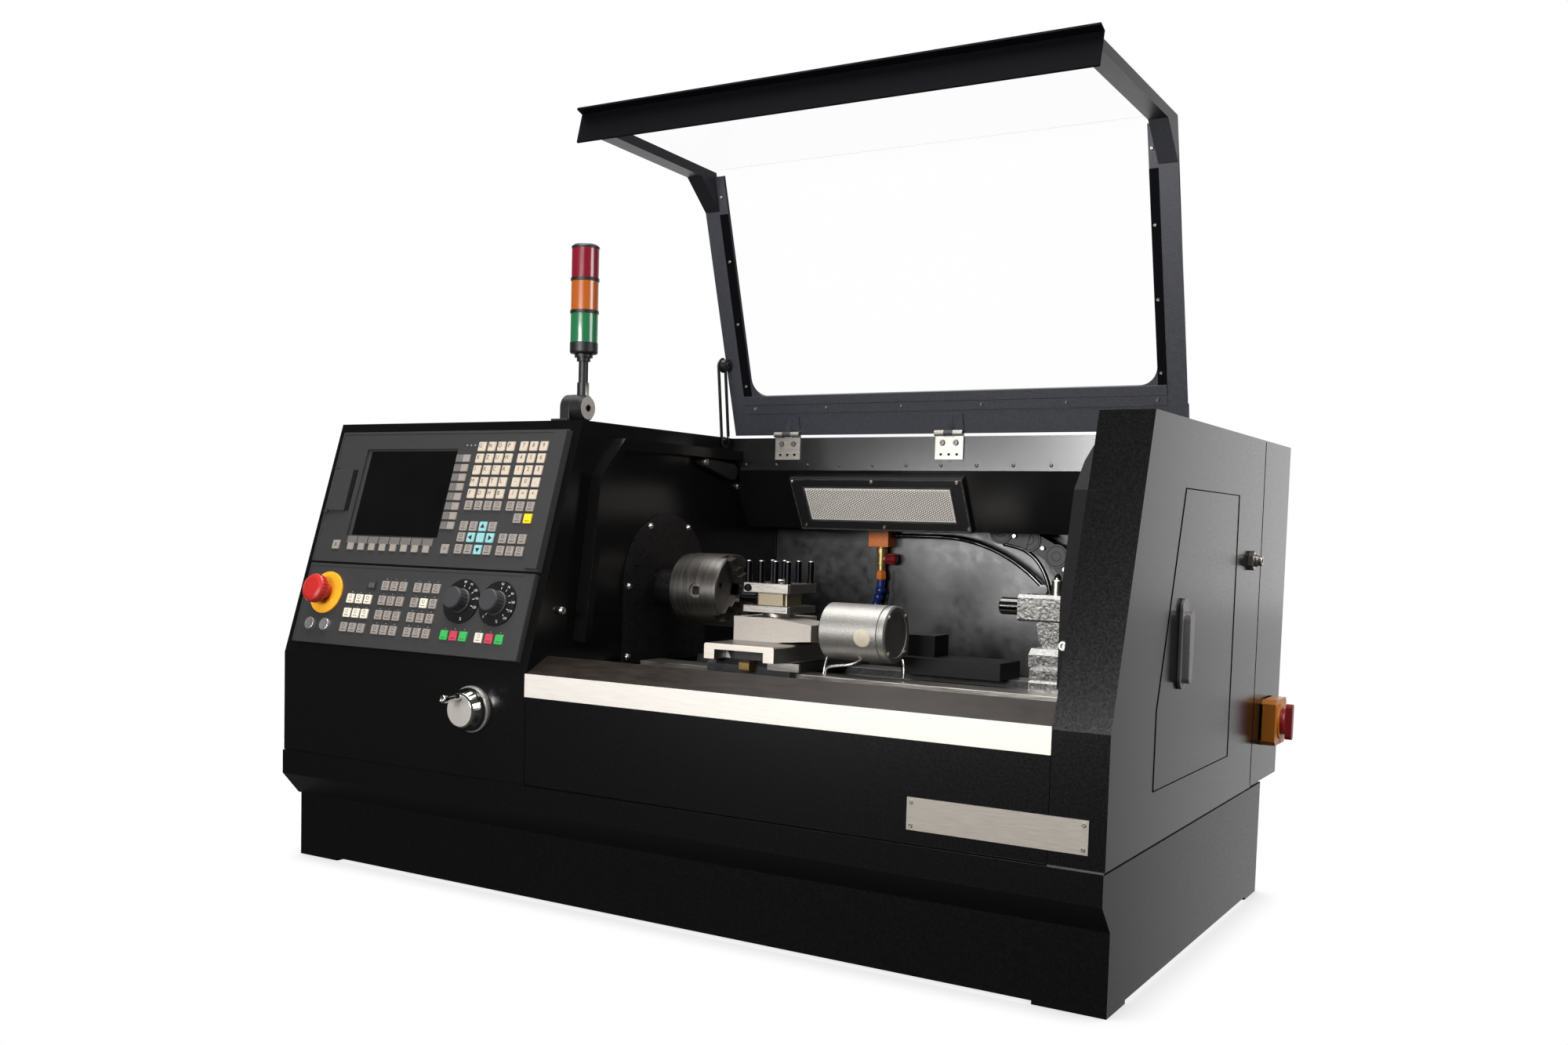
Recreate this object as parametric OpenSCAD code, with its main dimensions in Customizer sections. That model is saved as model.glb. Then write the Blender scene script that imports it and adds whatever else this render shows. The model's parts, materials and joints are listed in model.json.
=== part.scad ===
// Benchtop CNC lathe with an open guard hood, an operator panel and a slant-front enclosure.
// Units are millimetres. X runs to the right, Y to the back, Z up.

/* [Stand] */
// Width of the stand and of the enclosure
stand_w = 1190; // [1180:1:1200]
// Depth of the stand
stand_d = 671.5; // [655:0.5:690]
// Height of the seam between stand and enclosure
stand_h = 153; // [148:1:158]
// Height of the upright band at the top of the stand
band_h = 33; // [29:1:37]
// Set-back of the plinth behind the band
plinth_in = 28.6; // [24:0.2:32]
// Height of the sloping skirt between band and plinth
skirt_h = 31.5; // [28:0.5:35]
// Height of the corner foot pads
foot_h = 4; // [3:0.5:6]

/* [Enclosure] */
// Set-back of the enclosure front behind the stand band
enc_front = 4.5; // [3.5:0.5:5.5]
// Depth of the electrical cabinet behind the enclosure
cab_d = 156; // [150:1:162]
// Width of the left housing that holds the headstock
left_w = 441.5; // [439:0.5:442]
// Width of the right end housing
pillar_w = 60; // [59:1:61]
// Sheet thickness of the housings
sheet_t = 2.5; // [2:0.5:3]
// Height of the front sill trim
trim_h = 29; // [26:1:32]

/* [Hood] */
// Length of the hood's hinged leg
hood_l1 = 382; // [380:1:384]
// Length of the hood's front leg
hood_l2 = 287; // [284:1:290]
// Lean of the hinged leg from upright while the hood is open
hood_lean = 17; // [16.8:0.1:17.2]
// Width of the hood's side rails
rail_w = 24; // [22:1:26]
// Thickness of the clear guard sheet
guard_t = 4; // [3.5:0.5:4.5]
// Running clearance in the hinge knuckles
hinge_c = 0.05; // [0.03:0.01:0.08]

/* [Spindle] */
// Diameter of the chuck
chuck_d = 100; // [98:1:102]
// Length of the chuck body
chuck_len = 63; // [62:0.5:64]
// Width of a chuck jaw
jaw_w = 14; // [13:0.5:15]
// Clearance on each side of a jaw in its slot
jaw_c = 0.08; // [0.05:0.01:0.1]

/* [Carriage] */
// Width of the cross slide
slide_w = 105; // [103:1:106]
// Width of the square tool turret
turret_w = 73; // [71:1:74]
// Diameter of the turret motor
motor_d = 73; // [70:1:74]
// Length of the turret motor
motor_l = 90; // [88:1:92]

/* [Tailstock] */
// Diameter of the tailstock quill
quill_d = 21; // [20:0.5:22]
// Radial clearance of the quill in its bore
quill_c = 0.05; // [0.03:0.01:0.08]

/* [Panel] */
// Thickness of the operator panel bezels
bezel_t = 7; // [6.5:0.5:8]
// Diameter of the emergency stop ring
ring_d = 60; // [58:1:62]
// Diameter of the emergency stop head
stop_d = 40; // [38:1:42]
// Diameter of the override dial skirts
dial_d = 60; // [58:1:61]
// Diameter of the hand wheel flange
mpg_d = 60; // [58:1:62]

/* [Lamps] */
// Diameter of the signal lamp lenses
lamp_d = 37; // [35:1:38]
// Height of one signal lamp lens
lens_h = 38; // [36:1:40]
// Width of the work light frame
light_w = 277; // [270:1:282]
// Height of the work light frame
light_h = 86; // [84:1:87]

/* [Part] */
// Name of the sub-part to show, or all

/* [Hidden] */
key_rise = 2;
enc_h = 464;
knee_h = 138;
slope_in = 103;
enc_back = 609;
knee_z = stand_h + knee_h;
top_z = stand_h + enc_h;
work_x0 = left_w;
work_x1 = stand_w - pillar_w;
slope_a = atan(slope_in / (top_z - knee_z));
side_x0 = -2.5;
cab_back = enc_back + cab_d;
sw_tip = stand_w + 36;
front_tip = enc_front - 55;
x_mid = (side_x0 + sw_tip) / 2;
y_mid = (front_tip + cab_back) / 2;
spin_y = 297.5;
spin_z = stand_h + 243.5;
bed_z = stand_h + 147;
slide_x = work_x0 + 158.5;
block_x = slide_x + 208;
slide_z = bed_z + 35;
chuck_x = work_x0 + 57.5;
hinge_x = [work_x0 + 76.5, work_x0 + 335.5];
light_x = work_x0 + 100.5;
cool_x = work_x0 + 195.5;
bed_x0 = work_x0 + 28.5;
face_x = chuck_x + chuck_len;
tur_x = slide_x + 47.5;
tur_y = spin_y - 25;
hinge_y = 463;
hinge_z = top_z + 4.4;
hood_x0 = work_x0 + 4.5;
hood_x1 = work_x1 - 5.5;
hood_t = hood_l1 - 1.9;
hood_y = hinge_y - hood_t * sin(hood_lean) + 13.7 * cos(hood_lean);
hood_z = hinge_z + hood_t * cos(hood_lean) + 13.7 * sin(hood_lean);
stay_y = 442;
stay_z = top_z - 6.8;
bed_x1 = work_x1 - 5;
tail_x = work_x1 - 34;

module s() translate([-x_mid, -y_mid, 0]) children();
module bx(a, b, c, d, e, f) translate([a, c, e]) cube([b - a, d - c, f - e]);
module cx(a, b, y, z, r) translate([a, y, z]) rotate([0, 90, 0]) cylinder(r = r, h = b - a, $fn = 64);
module cy(a, b, x, z, r) translate([x, b, z]) rotate([90, 0, 0]) cylinder(r = r, h = b - a, $fn = 64);
module cz(a, b, x, y, r) translate([x, y, a]) cylinder(r = r, h = b - a, $fn = 64);
module prism(a, b, pts) translate([a, 0, 0]) rotate([90, 0, 90]) linear_extrude(height = b - a) polygon(pts);
module turn(pts, n = 96) rotate_extrude($fn = n) polygon(pts);
module slot_x(x, y0, y1, z, w, h) translate([x - w / 2, y1, z]) rotate([90, 0, 0])
    linear_extrude(height = y1 - y0) union() {
    square([w, h]);
    for (u = [0, w]) translate([u, h / 2]) circle(r = h / 2, $fn = 24);
}
module slot_y(x0, x1, y0, y1, z, h) translate([x0, y0, z]) rotate([90, 0, 90])
    linear_extrude(height = x1 - x0) union() {
    square([y1 - y0, h]);
    for (u = [0, y1 - y0]) translate([u, h / 2]) circle(r = h / 2, $fn = 24);
}
module on_panel() translate([0, enc_front, knee_z]) rotate([-slope_a, 0, 0]) children();
module on_leg1() translate([0, hood_y, hood_z]) rotate([hood_lean, 0, 0]) children();
module on_leg2() translate([0, hood_y, hood_z]) rotate([hood_lean + 71.5, 0, 0]) children();
module on_light() translate([0, 467.5, top_z - 47.5]) rotate([30, 0, 0]) children();
function enc_out() = [[enc_front, stand_h], [enc_front, knee_z], [enc_front + slope_in, top_z],
    [enc_back, top_z], [enc_back, stand_h]];
function enc_in(t) = [[enc_front + t, stand_h - 1],
    [enc_front + t, knee_z - t * (1 / cos(slope_a) - 1) / tan(slope_a)],
    [enc_front + slope_in - t * tan(slope_a) + t / cos(slope_a), top_z - t], [enc_back - t, top_z - t],
        [enc_back - t, stand_h - 1]];
function p1(t, o) = [hood_y + t * sin(hood_lean) - o * cos(hood_lean),
    hood_z - t * cos(hood_lean) - o * sin(hood_lean)];
function p2(t, o) = [hood_y - t * sin(hood_lean + 71.5) - o * cos(hood_lean + 71.5),
    hood_z + t * cos(hood_lean + 71.5) - o * sin(hood_lean + 71.5)];
function hood_e(o) = hood_l2 - 12.68 + 0.24183 * o;
module gutter(a, b) prism(a, b,
    [[465, top_z - 19.5], [177, top_z - 19.5], [127, top_z - 70], [97, top_z - 287],
    [111, top_z - 287], [140, top_z - 76], [183, top_z - 33.5], [465, top_z - 33.5]]);

module end_gutter(a, b) prism(a, b,
    [[465, top_z - 19.5], [170, top_z - 19.5], [120, top_z - 52], [90, top_z - 84], [62, top_z - 197],
    [61.5, top_z - 292],
    [74, top_z - 292], [75, top_z - 199], [103, top_z - 92], [128, top_z - 64], [176, top_z - 33.5],
        [465, top_z - 33.5]]);

module base_stand() color("#2e2e31") s() {
    z = stand_h - band_h - skirt_h;
    difference() {
        union() {
            prism(0, stand_w, [[0, stand_h], [0, stand_h - band_h], [plinth_in, z], [stand_d, z],
                [stand_d, stand_h]]);
            bx(5.7, stand_w, plinth_in, stand_d, foot_h, z + 0.01);
        }
        bx(9, stand_w - 3, plinth_in + 3, stand_d - 3, 0, stand_h - 3);
        bx(9, stand_w - 3, 3, plinth_in + 4, stand_h - band_h + 1, stand_h - 3);
        for (x = [stand_w / 2 - 190, stand_w / 2 + 190]) for (i = [-2 : 2])
            slot_x(x + i * 26, stand_d - 4, stand_d + 1, foot_h + 30, 40, 4);
    }
    for (x = [5.7, stand_w - 80]) for (y = [plinth_in, stand_d - 60])
        bx(x, x + 80 - (x < 100 ? 5.7 : 0), y, y + 60, 0, foot_h);
}

module left_housing() color("#333336") s() {
    difference() {
        union() {
            difference() {
                prism(side_x0, work_x0, enc_out());
                prism(side_x0 + sheet_t, work_x0 - sheet_t, enc_in(sheet_t));
            }
            gutter(work_x0 - 1, work_x0 + 18);
            prism(side_x0 - 1.5, side_x0, [[150, stand_h + 60], [150, top_z - 160], [190, top_z - 60],
                [540, top_z - 60], [540, stand_h + 60]]);
        }
        cx(work_x0 - 10, work_x0 + 5, spin_y, spin_z, 32);
        for (i = [0 : 9]) slot_y(side_x0 - 2, side_x0 + 3, 400, 500, stand_h + 100 + i * 14, 3);
        for (y = [165, 345, 525]) for (z = [stand_h + 75, top_z - 90]) if (y > 170 || z < 400)
            cx(side_x0 - 2, side_x0 - 0.5, y, z, 5);
    }
    cx(work_x0 - 1, work_x0 + 1.5, stay_y, stay_z, 7.6);
    cx(work_x0, work_x0 + 4.5, stay_y, stay_z, 6);
}

module right_housing() color("#333336") s() {
    difference() {
        union() {
            difference() {
                prism(work_x1, stand_w, enc_out());
                prism(work_x1 + sheet_t, stand_w - sheet_t, enc_in(sheet_t));
                prism(stand_w - sheet_t - 1, stand_w + 1,
                    [[233.5, top_z - 76], [477, top_z - 76], [477, top_z - 405], [155, top_z - 404.5],
                    [155, top_z - 317]]);
            }
            end_gutter(work_x1 - 18, work_x1 + 1);
            bx(stand_w - 8, stand_w - 1, 462, 482, top_z - 76, top_z - 66);
            bx(stand_w - 8, stand_w - 1, 462, 482, top_z - 415, top_z - 405);
        }
        cz(top_z - 420, top_z - 60, stand_w - 3.2, 472, 2 + hinge_c);
    }
}

module rear_cabinet() color("#333336") s() difference() {
    union() {
        bx(0, stand_w, enc_back, cab_back - 3, stand_h + 2.5, top_z);
        bx(12, stand_w - 12, cab_back - 3.01, cab_back, stand_h + 14, top_z - 12);
    }
    bx(sheet_t, stand_w - sheet_t, enc_back + sheet_t, cab_back - 3 - sheet_t, stand_h + 2.5 + sheet_t,
        top_z - sheet_t);
    for (x = [stand_w * 0.25, stand_w * 0.75]) for (i = [0 : 7])
        slot_x(x, cab_back - 6, cab_back + 1, top_z - 60 - i * 13, 130, 3);
    for (x = [24, stand_w / 2, stand_w - 24]) for (z = [stand_h + 28, top_z - 26])
        cy(cab_back - 1.5, cab_back + 1, x, z, 5);
}

module work_back() color("#2b2b2d") s() {
    bx(work_x0, work_x1, enc_back - 6, enc_back, stand_h, top_z - sheet_t);
    bx(work_x0, work_x1, enc_front + sheet_t, enc_back - 6 + 0.01, stand_h, stand_h + 5);
}

module top_beam() color("#303033") s() {
    prism(work_x0, work_x1, [[467.5, top_z - 47.5], [467.5, top_z], [enc_back, top_z],
        [enc_back, top_z - sheet_t], [467.5 + sheet_t, top_z - sheet_t],
        [467.5 + sheet_t, top_z - 47], [518.2, top_z - 130.5], [516, top_z - 131.5]]);
    for (i = [0 : 12]) translate([work_x0 + 24 + i * (work_x1 - work_x0 - 48) / 12, 467.51, top_z - 40])
        rotate([90, 0, 0]) turn([[0, 0], [2.6, 0], [2.3, 1], [1.4, 1.7], [0, 1.9]], 24);
}

module front_sill() color("#2e2e31") s()
    prism(work_x0, work_x1, [[enc_front, stand_h], [enc_front, knee_z + 3], [45, knee_z + 23.5],
    [45, knee_z + 5],
    [45 - sheet_t, knee_z + 5], [45 - sheet_t, knee_z + 19.5], [enc_front + sheet_t, knee_z + 1.2],
        [enc_front + sheet_t, stand_h]]);

module sill_trim() color("#b8bcc0") s() {
    bx(work_x0, work_x1, enc_front - 2, enc_front, knee_z + 3 - trim_h, knee_z + 3);
    difference() {
        bx(973, 1172, enc_front - 1.5, enc_front, stand_h + 16, stand_h + 51);
        for (x = [978, 1167]) for (z = [stand_h + 21, stand_h + 46])
            cy(enc_front - 2, enc_front + 1, x, z, 1.6);
    }
}

module spindle_cover() color("#38383b") s() difference() {
    union() {
        cx(work_x0, work_x0 + 2, spin_y + 2.5, spin_z + 3.5, 100);
        bx(work_x0, work_x0 + 2, spin_y - 97.5, spin_y + 102.5, spin_z - 104, spin_z + 3.5);
        cx(work_x0 - 42, work_x0 + 1, spin_y, spin_z, 31.9);
        for (q = [[-37.5, 85.5], [54.5, 84.5], [-85, 2.5], [-85, -94.5]])
            translate([work_x0 + 1.99, spin_y + q[0], spin_z + q[1]]) rotate([0, 90, 0])
                turn([[0, 0], [5, 0], [4.4, 1.8], [2.6, 2.8], [0, 3]], 32);
    }
    cx(work_x0 - 50, work_x0 + 5, spin_y, spin_z, 26.05);
    prism(work_x0 + 1, work_x0 + 3,
        [[spin_y - 89.5, spin_z + 40], [spin_y - 54.5, spin_z + 40], [spin_y - 35.5, spin_z + 69.5],
        [spin_y - 72.5, spin_z + 69.5]]);
}

module spindle() color("#8d9093") s() difference() {
    x = chuck_x - work_x0;
    r = chuck_d / 2;
    translate([work_x0, spin_y, spin_z]) rotate([0, 90, 0])
        turn([[9, -47], [29, -47], [29, -42.1], [26, -42.1], [26, x - 15], [r - 2.5, x - 15],
        [r - 1, x - 13.5],
        [r - 1, x - 1.2], [r - 2.5, x - 1.2], [r - 2.5, x], [r, x], [r, x + chuck_len - 2],
            [r - 2, x + chuck_len], [13, x + chuck_len], [12, x + chuck_len - 1], [12, x + 20], [9, x + 17]]);
    for (a = [109, 229, 349]) translate([0, spin_y, spin_z]) rotate([a, 0, 0])
        bx(face_x - 10, face_x + 1, 0, chuck_d, -jaw_w / 2 - jaw_c, jaw_w / 2 + jaw_c);
    for (a = [180, 300, 60]) translate([528, spin_y, spin_z]) rotate([a, 0, 0]) {
        cy(r - 3, r + 5, 0, 0, 10);
        bx(-5.5, 5.5, r - 18, r, -5.5, 5.5);
    }
    for (a = [49, 169, 289]) translate([0, spin_y, spin_z]) rotate([a, 0, 0])
        cx(face_x - 6, face_x + 1, 38, 0, 4.5);
}

module jaw(a) s() translate([0, spin_y, spin_z]) rotate([a, 0, 0]) translate([0, 0, -jaw_w / 2])
    linear_extrude(height = jaw_w)
    polygon([[face_x - 10, 13], [face_x + 18, 13], [face_x + 18, 24], [face_x + 12, 24], [face_x + 12, 33],
        [face_x + 6, 33], [face_x + 6, 46], [face_x - 10, 46]]);
module jaw_a() color("#a7aaad") jaw(109);
module jaw_b() color("#a7aaad") jaw(229);
module jaw_c3() color("#a7aaad") jaw(349);

module bed() color("#4a4b4e") s() {
    difference() {
        prism(bed_x0, bed_x1, [[198, stand_h + 5], [198, stand_h + 21], [213, stand_h + 37],
            [213, bed_z - 34], [205, bed_z - 24], [205, bed_z], [250, bed_z], [254, bed_z - 10],
            [341, bed_z - 10], [345, bed_z], [390, bed_z], [390, bed_z - 24], [382, bed_z - 34],
                [382, stand_h + 37], [397, stand_h + 21], [397, stand_h + 5]]);
        prism(bed_x0 - 1, bed_x1 + 1, [[226, stand_h + 4], [226, bed_z - 38], [238, bed_z - 24],
            [357, bed_z - 24], [369, bed_z - 38], [369, stand_h + 4]]);
    }
    for (i = [0 : 4]) prism(bed_x0 + 12 + i * (bed_x1 - bed_x0 - 36) / 4,
        bed_x0 + 24 + i * (bed_x1 - bed_x0 - 36) / 4,
        [[225, stand_h + 5], [225, bed_z - 37], [237, bed_z - 23], [358, bed_z - 23], [370, bed_z - 37],
        [370, stand_h + 5]]);
}

module saddle() color("#55565a") s() {
    c = slide_x + slide_w / 2;
    prism(slide_x - 10, slide_x + slide_w + 10,
        [[190, bed_z - 15], [190, bed_z + 7], [196, slide_z - 20.5], [404, slide_z - 20.5],
        [410, bed_z + 7], [410, bed_z - 15],
        [390.1, bed_z - 15], [390.1, bed_z], [204.9, bed_z], [204.9, bed_z - 15]]);
    translate([c, 405, slide_z - 20.5]) rotate([90, 0, 0]) linear_extrude(height = 210)
        polygon([[-28.85, -0.5], [28.85, -0.5], [33.9, 9.4], [-33.9, 9.4]]);
    prism(649, 664, [[176, bed_z + 1], [174, bed_z + 3], [174, bed_z + 12], [176, bed_z + 14.4],
        [190.01, bed_z + 14.4], [190.01, bed_z + 1]]);
    bx(684, 730, 186, 190.01, bed_z + 4, bed_z + 14.4);
}

module cross_slide() color("#606165") s() difference() {
    c = slide_x + slide_w / 2;
    h = slide_w / 2;
    translate([c, 400, slide_z - 20.5]) rotate([90, 0, 0]) linear_extrude(height = 234)
        polygon([[-h, 0], [-29.2, 0], [-34.05, 9.5], [34.05, 9.5], [29.2, 0], [h, 0], [h, 18.5],
        [h - 2, 20.5],
        [-h + 2, 20.5], [-h, 18.5]]);
    bx(c - h + 16, c + h - 16, 165, 194, slide_z - 21, slide_z - 8);
}

module turret_base() color("#8e9196") s() difference() {
    union() {
        bx(slide_x, slide_x + 73, 236, 330, slide_z, slide_z + 31.5);
        translate([0, 285, 0]) rotate([90, 0, 0]) linear_extrude(height = 60)
            polygon([[slide_x + 72, slide_z + 1], [slide_x + 124, slide_z + 5],
            [slide_x + 124, slide_z + 26], [slide_x + 72, slide_z + 31.5]]);
        translate([slide_x + 123.9, 255, slide_z + 19.5]) rotate([0, 90, 0])
            turn([[0, 0], [13, 0], [13, 4], [18, 6], [18, 12], [16.5, 14.1], [0, 14.1]], 64);
    }
    cz(slide_z + 11.4, slide_z + 40, tur_x, tur_y, 8 + hinge_c);
    for (y = [242, 324]) cz(slide_z + 22, slide_z + 32, slide_x + 7, y, 4.5);
}

module turret_motor() color("#a9acb0") s() {
    r = motor_d / 2;
    translate([slide_x + 138, 255, slide_z + 19.5]) rotate([0, 90, 0]) {
        turn([[0, 0], [r - 1, 0], [r, 1], [r, motor_l - 9], [r - 1.2, motor_l - 8], [r - 1.2, motor_l - 6],
            [r, motor_l - 5], [r, motor_l + 1], [r - 2, motor_l + 3], [r - 7, motor_l + 3],
            [r - 8, motor_l + 1.5], [0, motor_l + 1.5]], 128);
        for (a = [45 : 90 : 315]) rotate([0, 0, a]) translate([r - 4.5, 0, motor_l + 2.9])
            turn([[0, 0], [2.6, 0], [2.6, 1.5], [1.6, 2.4], [0, 2.4]], 24);
    }
}

module turret() color("#6f7175") s() {
    h = turret_w / 2;
    translate([tur_x, tur_y, slide_z]) {
        turn([[0, 11.5], [8, 11.5], [8, 31.5], [22, 31.5], [22, 38.1], [0, 38.1]]);
        for (z = [38, 64]) translate([0, 0, z]) linear_extrude(height = z == 38 ? 9 : 12.5)
            polygon([[-h, 3 - h], [3 - h, -h], [h - 3, -h], [h, 3 - h], [h, h - 3], [h - 3, h], [3 - h, h],
                [-h, h - 3]]);
        translate([-23, -23, 46.9]) linear_extrude(height = 17.2) difference() {
            square([46, 46]);
            for (x = [0, 46]) for (y = [0, 46]) translate([x, y]) circle(r = 4, $fn = 32);
        }
        turn([[0, 76.4], [13, 76.4], [13, 80], [11.5, 81.5], [0, 81.5]]);
    }
}

module tool_bolts() color("#232426") s() {
    for (d = [-30, -11, 11, 30]) for (q = [-30, 30]) translate([tur_x + d, tur_y + q, slide_z + 76.5])
        difference() {
        turn([[0, 0], [6, 0], [6, 1.2], [4, 1.2], [4, 28.8], [3.2, 29.5], [0, 29.5]], 32);
        translate([0, 0, 25]) cylinder(r = 2.2, h = 6, $fn = 6);
    }
    translate([tur_x - 65, tur_y, slide_z + 55.5]) rotate([0, 90, 0])
        turn([[0, 0], [3, 0], [6, 8], [6, 42], [0, 42]], 48);
    bx(tur_x - 65, tur_x - 57, tur_y - 8, tur_y - 2, slide_z + 53.5, slide_z + 57.5);
}

module tailstock() color("#515256") s() translate([tail_x, 0, 0]) difference() {
    union() {
        prism(-115, -11, [[276, spin_z - 14], [279, spin_z - 16.5], [316, spin_z - 16.5],
            [319, spin_z - 14], [319, spin_z + 12], [315, spin_z + 16], [280, spin_z + 16],
            [276, spin_z + 12]]);
        translate([0, 313, spin_z]) rotate([90, 0, 0]) linear_extrude(height = 31)
            polygon([[-93, -16.4], [-16, -16.4], [-16, -48], [-82, -48], [-88, -40]]);
        prism(-93, -6, [[262, spin_z - 69.5], [262, spin_z - 55], [270, spin_z - 47.9],
            [332, spin_z - 47.9], [340, spin_z - 55], [340, spin_z - 69.5]]);
        prism(-85, 0, [[246, spin_z - 84], [246, spin_z - 72], [250, spin_z - 69.4], [356, spin_z - 69.4],
            [360, spin_z - 72], [360, spin_z - 84]]);
        prism(-83, 0, [[238, bed_z], [238, spin_z - 86], [241, spin_z - 83.9], [386, spin_z - 83.9],
            [389, spin_z - 86], [389, bed_z]]);
        translate([-11.01, spin_y, spin_z]) rotate([0, 90, 0])
            turn([[0, 0], [15, 0], [15, 3], [13, 4], [0, 4]], 48);
    }
    cx(-121, -6, spin_y, spin_z, quill_d / 2 + quill_c);
    cz(spin_z + 11.4, spin_z + 20, -73, spin_y, 4.05);
}

module quill() color("#c3c6c9") s() translate([tail_x - 144, spin_y, spin_z]) rotate([0, 90, 0])
    turn([[7, 0], [quill_d / 2 - 1, 0], [quill_d / 2, 1], [quill_d / 2, 98], [0, 98], [0, 34], [5, 33]]);

module quill_lock() color("#1d1d1f") s() translate([tail_x - 73, spin_y, spin_z]) {
    turn([[0, 11.5], [4, 11.5], [4, 16.05], [7, 16.05], [7, 33], [5.6, 34.5], [4.4, 34.5], [4.4, 37],
        [2.4, 41], [0, 42]], 48);
    cy(0, 26, 0, 29, 3);
}

module work_light() color("#1c1d1f") s() on_light() difference() {
    union() {
        bx(light_x, light_x + light_w, -6.8, 0, -9.4 - light_h, -9.4);
        difference() {
            bx(light_x + 1, light_x + light_w - 1, -8, -6.7, -8.4 - light_h, -10.4);
            bx(light_x + 3.2, light_x + light_w - 3.2, -9, -6.6, -6.2 - light_h, -12.6);
        }
        bx(light_x + 19.5, light_x + light_w - 19.5, -8, -6.7, -80.5, -23);
    }
    bx(light_x + 22, light_x + light_w - 22, -9, -3, -78, -25.5);
}

module light_lens() color("#f3f4f2") s() on_light()
    bx(light_x + 22.2, light_x + light_w - 22.2, -7, -3, -77.8, -25.7);

module wall_arm() color("#151517") s() {
    z = top_z - 51;
    cx(work_x0, work_x0 + 12, 452, z, 12.5);
    cx(work_x0, work_x0 + 12, 374, z + 11, 6);
    prism(work_x0, work_x0 + 12, [[453.7, z + 12.3], [374.8, z + 16.9], [373.2, z + 5.1], [450.3, z - 12.3]]);
}

module coolant_block() color("#e0682a") s() {
    bx(cool_x - 16, cool_x + 17, 575, 603, spin_z + 63.5, spin_z + 87.5);
    translate([cool_x, 589, spin_z + 13.5]) turn([[0, 0], [6.5, 0], [8, 2], [8, 11], [6.5, 14], [0, 14]], 6);
    translate([cool_x, 589, spin_z + 86]) turn([[0, 0], [9, 0], [9, 6], [7, 7.5], [0, 7.5]], 48);
}

module coolant_valve() color("#b8923c") s() difference() {
    union() {
        translate([cool_x, 589, spin_z + 27.5])
            turn([[0, 0], [6, 0], [6, 9], [7.5, 9.5], [7.5, 12], [6.6, 12], [6.6, 26], [8.6, 26], [8.6, 33],
            [7, 34], [7, 36], [0, 36]], 48);
        cx(cool_x + 1, cool_x + 8, 589, spin_z + 45.5, 5);
    }
    cx(cool_x + 2, cool_x + 9, 589, spin_z + 45.5, 2.55);
}

module valve_knob() color("#c02a22") s() translate([cool_x + 8, 589, spin_z + 45.5]) rotate([0, 90, 0])
    difference() {
    turn([[0, -5.5], [2.5, -5.5], [2.5, 0], [6.5, 0], [8.5, 2], [8.5, 14], [8, 16], [6, 18], [0, 18]], 48);
    for (a = [0 : 45 : 315]) rotate([0, 0, a]) translate([9.6, 0, 3]) cylinder(r = 2.2, h = 20, $fn = 24);
}

module coolant_pipe() color("#2a5fb0") s() {
    cz(spin_z + 3, spin_z + 13.5, cool_x, 589, 6);
    for (i = [0 : 6]) translate([cool_x - 14 * sin(i * 12), 589, spin_z - i * 10.6])
        rotate([0, 10 - i * 1.4, 0])
        turn([[0, 3.5], [4.6, 3.5], [5.6, 1.5], [7.2, 0], [7.6, -3], [7, -5.6], [5.2, -7.2], [0, -7.2]], 48);
}

module coolant_hose() color("#1a1a1c") s() {
    z = spin_z + 81;
    cx(cool_x + 17, cool_x + 95.98, 589, z, 3.5);
    translate([cool_x + 96, 589, z - 229]) rotate([90, 0, 0]) rotate([0, 0, 45])
        rotate_extrude(angle = 45, $fn = 96) translate([229, 0]) circle(r = 3.5, $fn = 32);
    cy(580, 603, cool_x + 96 + 234.1 * sin(45), z - 229 + 223.9 * cos(45), 7);
}

module cable_chain() color("#1b1b1d") s() {
    c = [[840, 90.5], [882, 80.5], [924, 58.5], [950, 23.5], [955, -19.5], [940, -60]];
    for (i = [0 : 5]) cy(i % 2 == 0 ? 560 : 563, i % 2 == 0 ? 596 : 593, c[i][0], spin_z + c[i][1], 17);
    for (i = [0 : 4]) translate([c[i][0], i % 2 == 0 ? 562 : 565, spin_z + c[i][1]])
        rotate([0, -atan2(c[i + 1][1] - c[i][1], c[i + 1][0] - c[i][0]), 0])
            bx(0, 43, 0, i % 2 == 0 ? 32 : 26, -13, 13);
    cy(595, 603, 840, spin_z + 90.5, 10);
    cy(592, 603, 955, spin_z - 19.5, 10);
    bx(block_x, tail_x - 151, 318, 385, bed_z, bed_z + 22);
    bx(block_x, block_x + 38, 336, 380, bed_z + 21.9, bed_z + 50);
}

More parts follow.
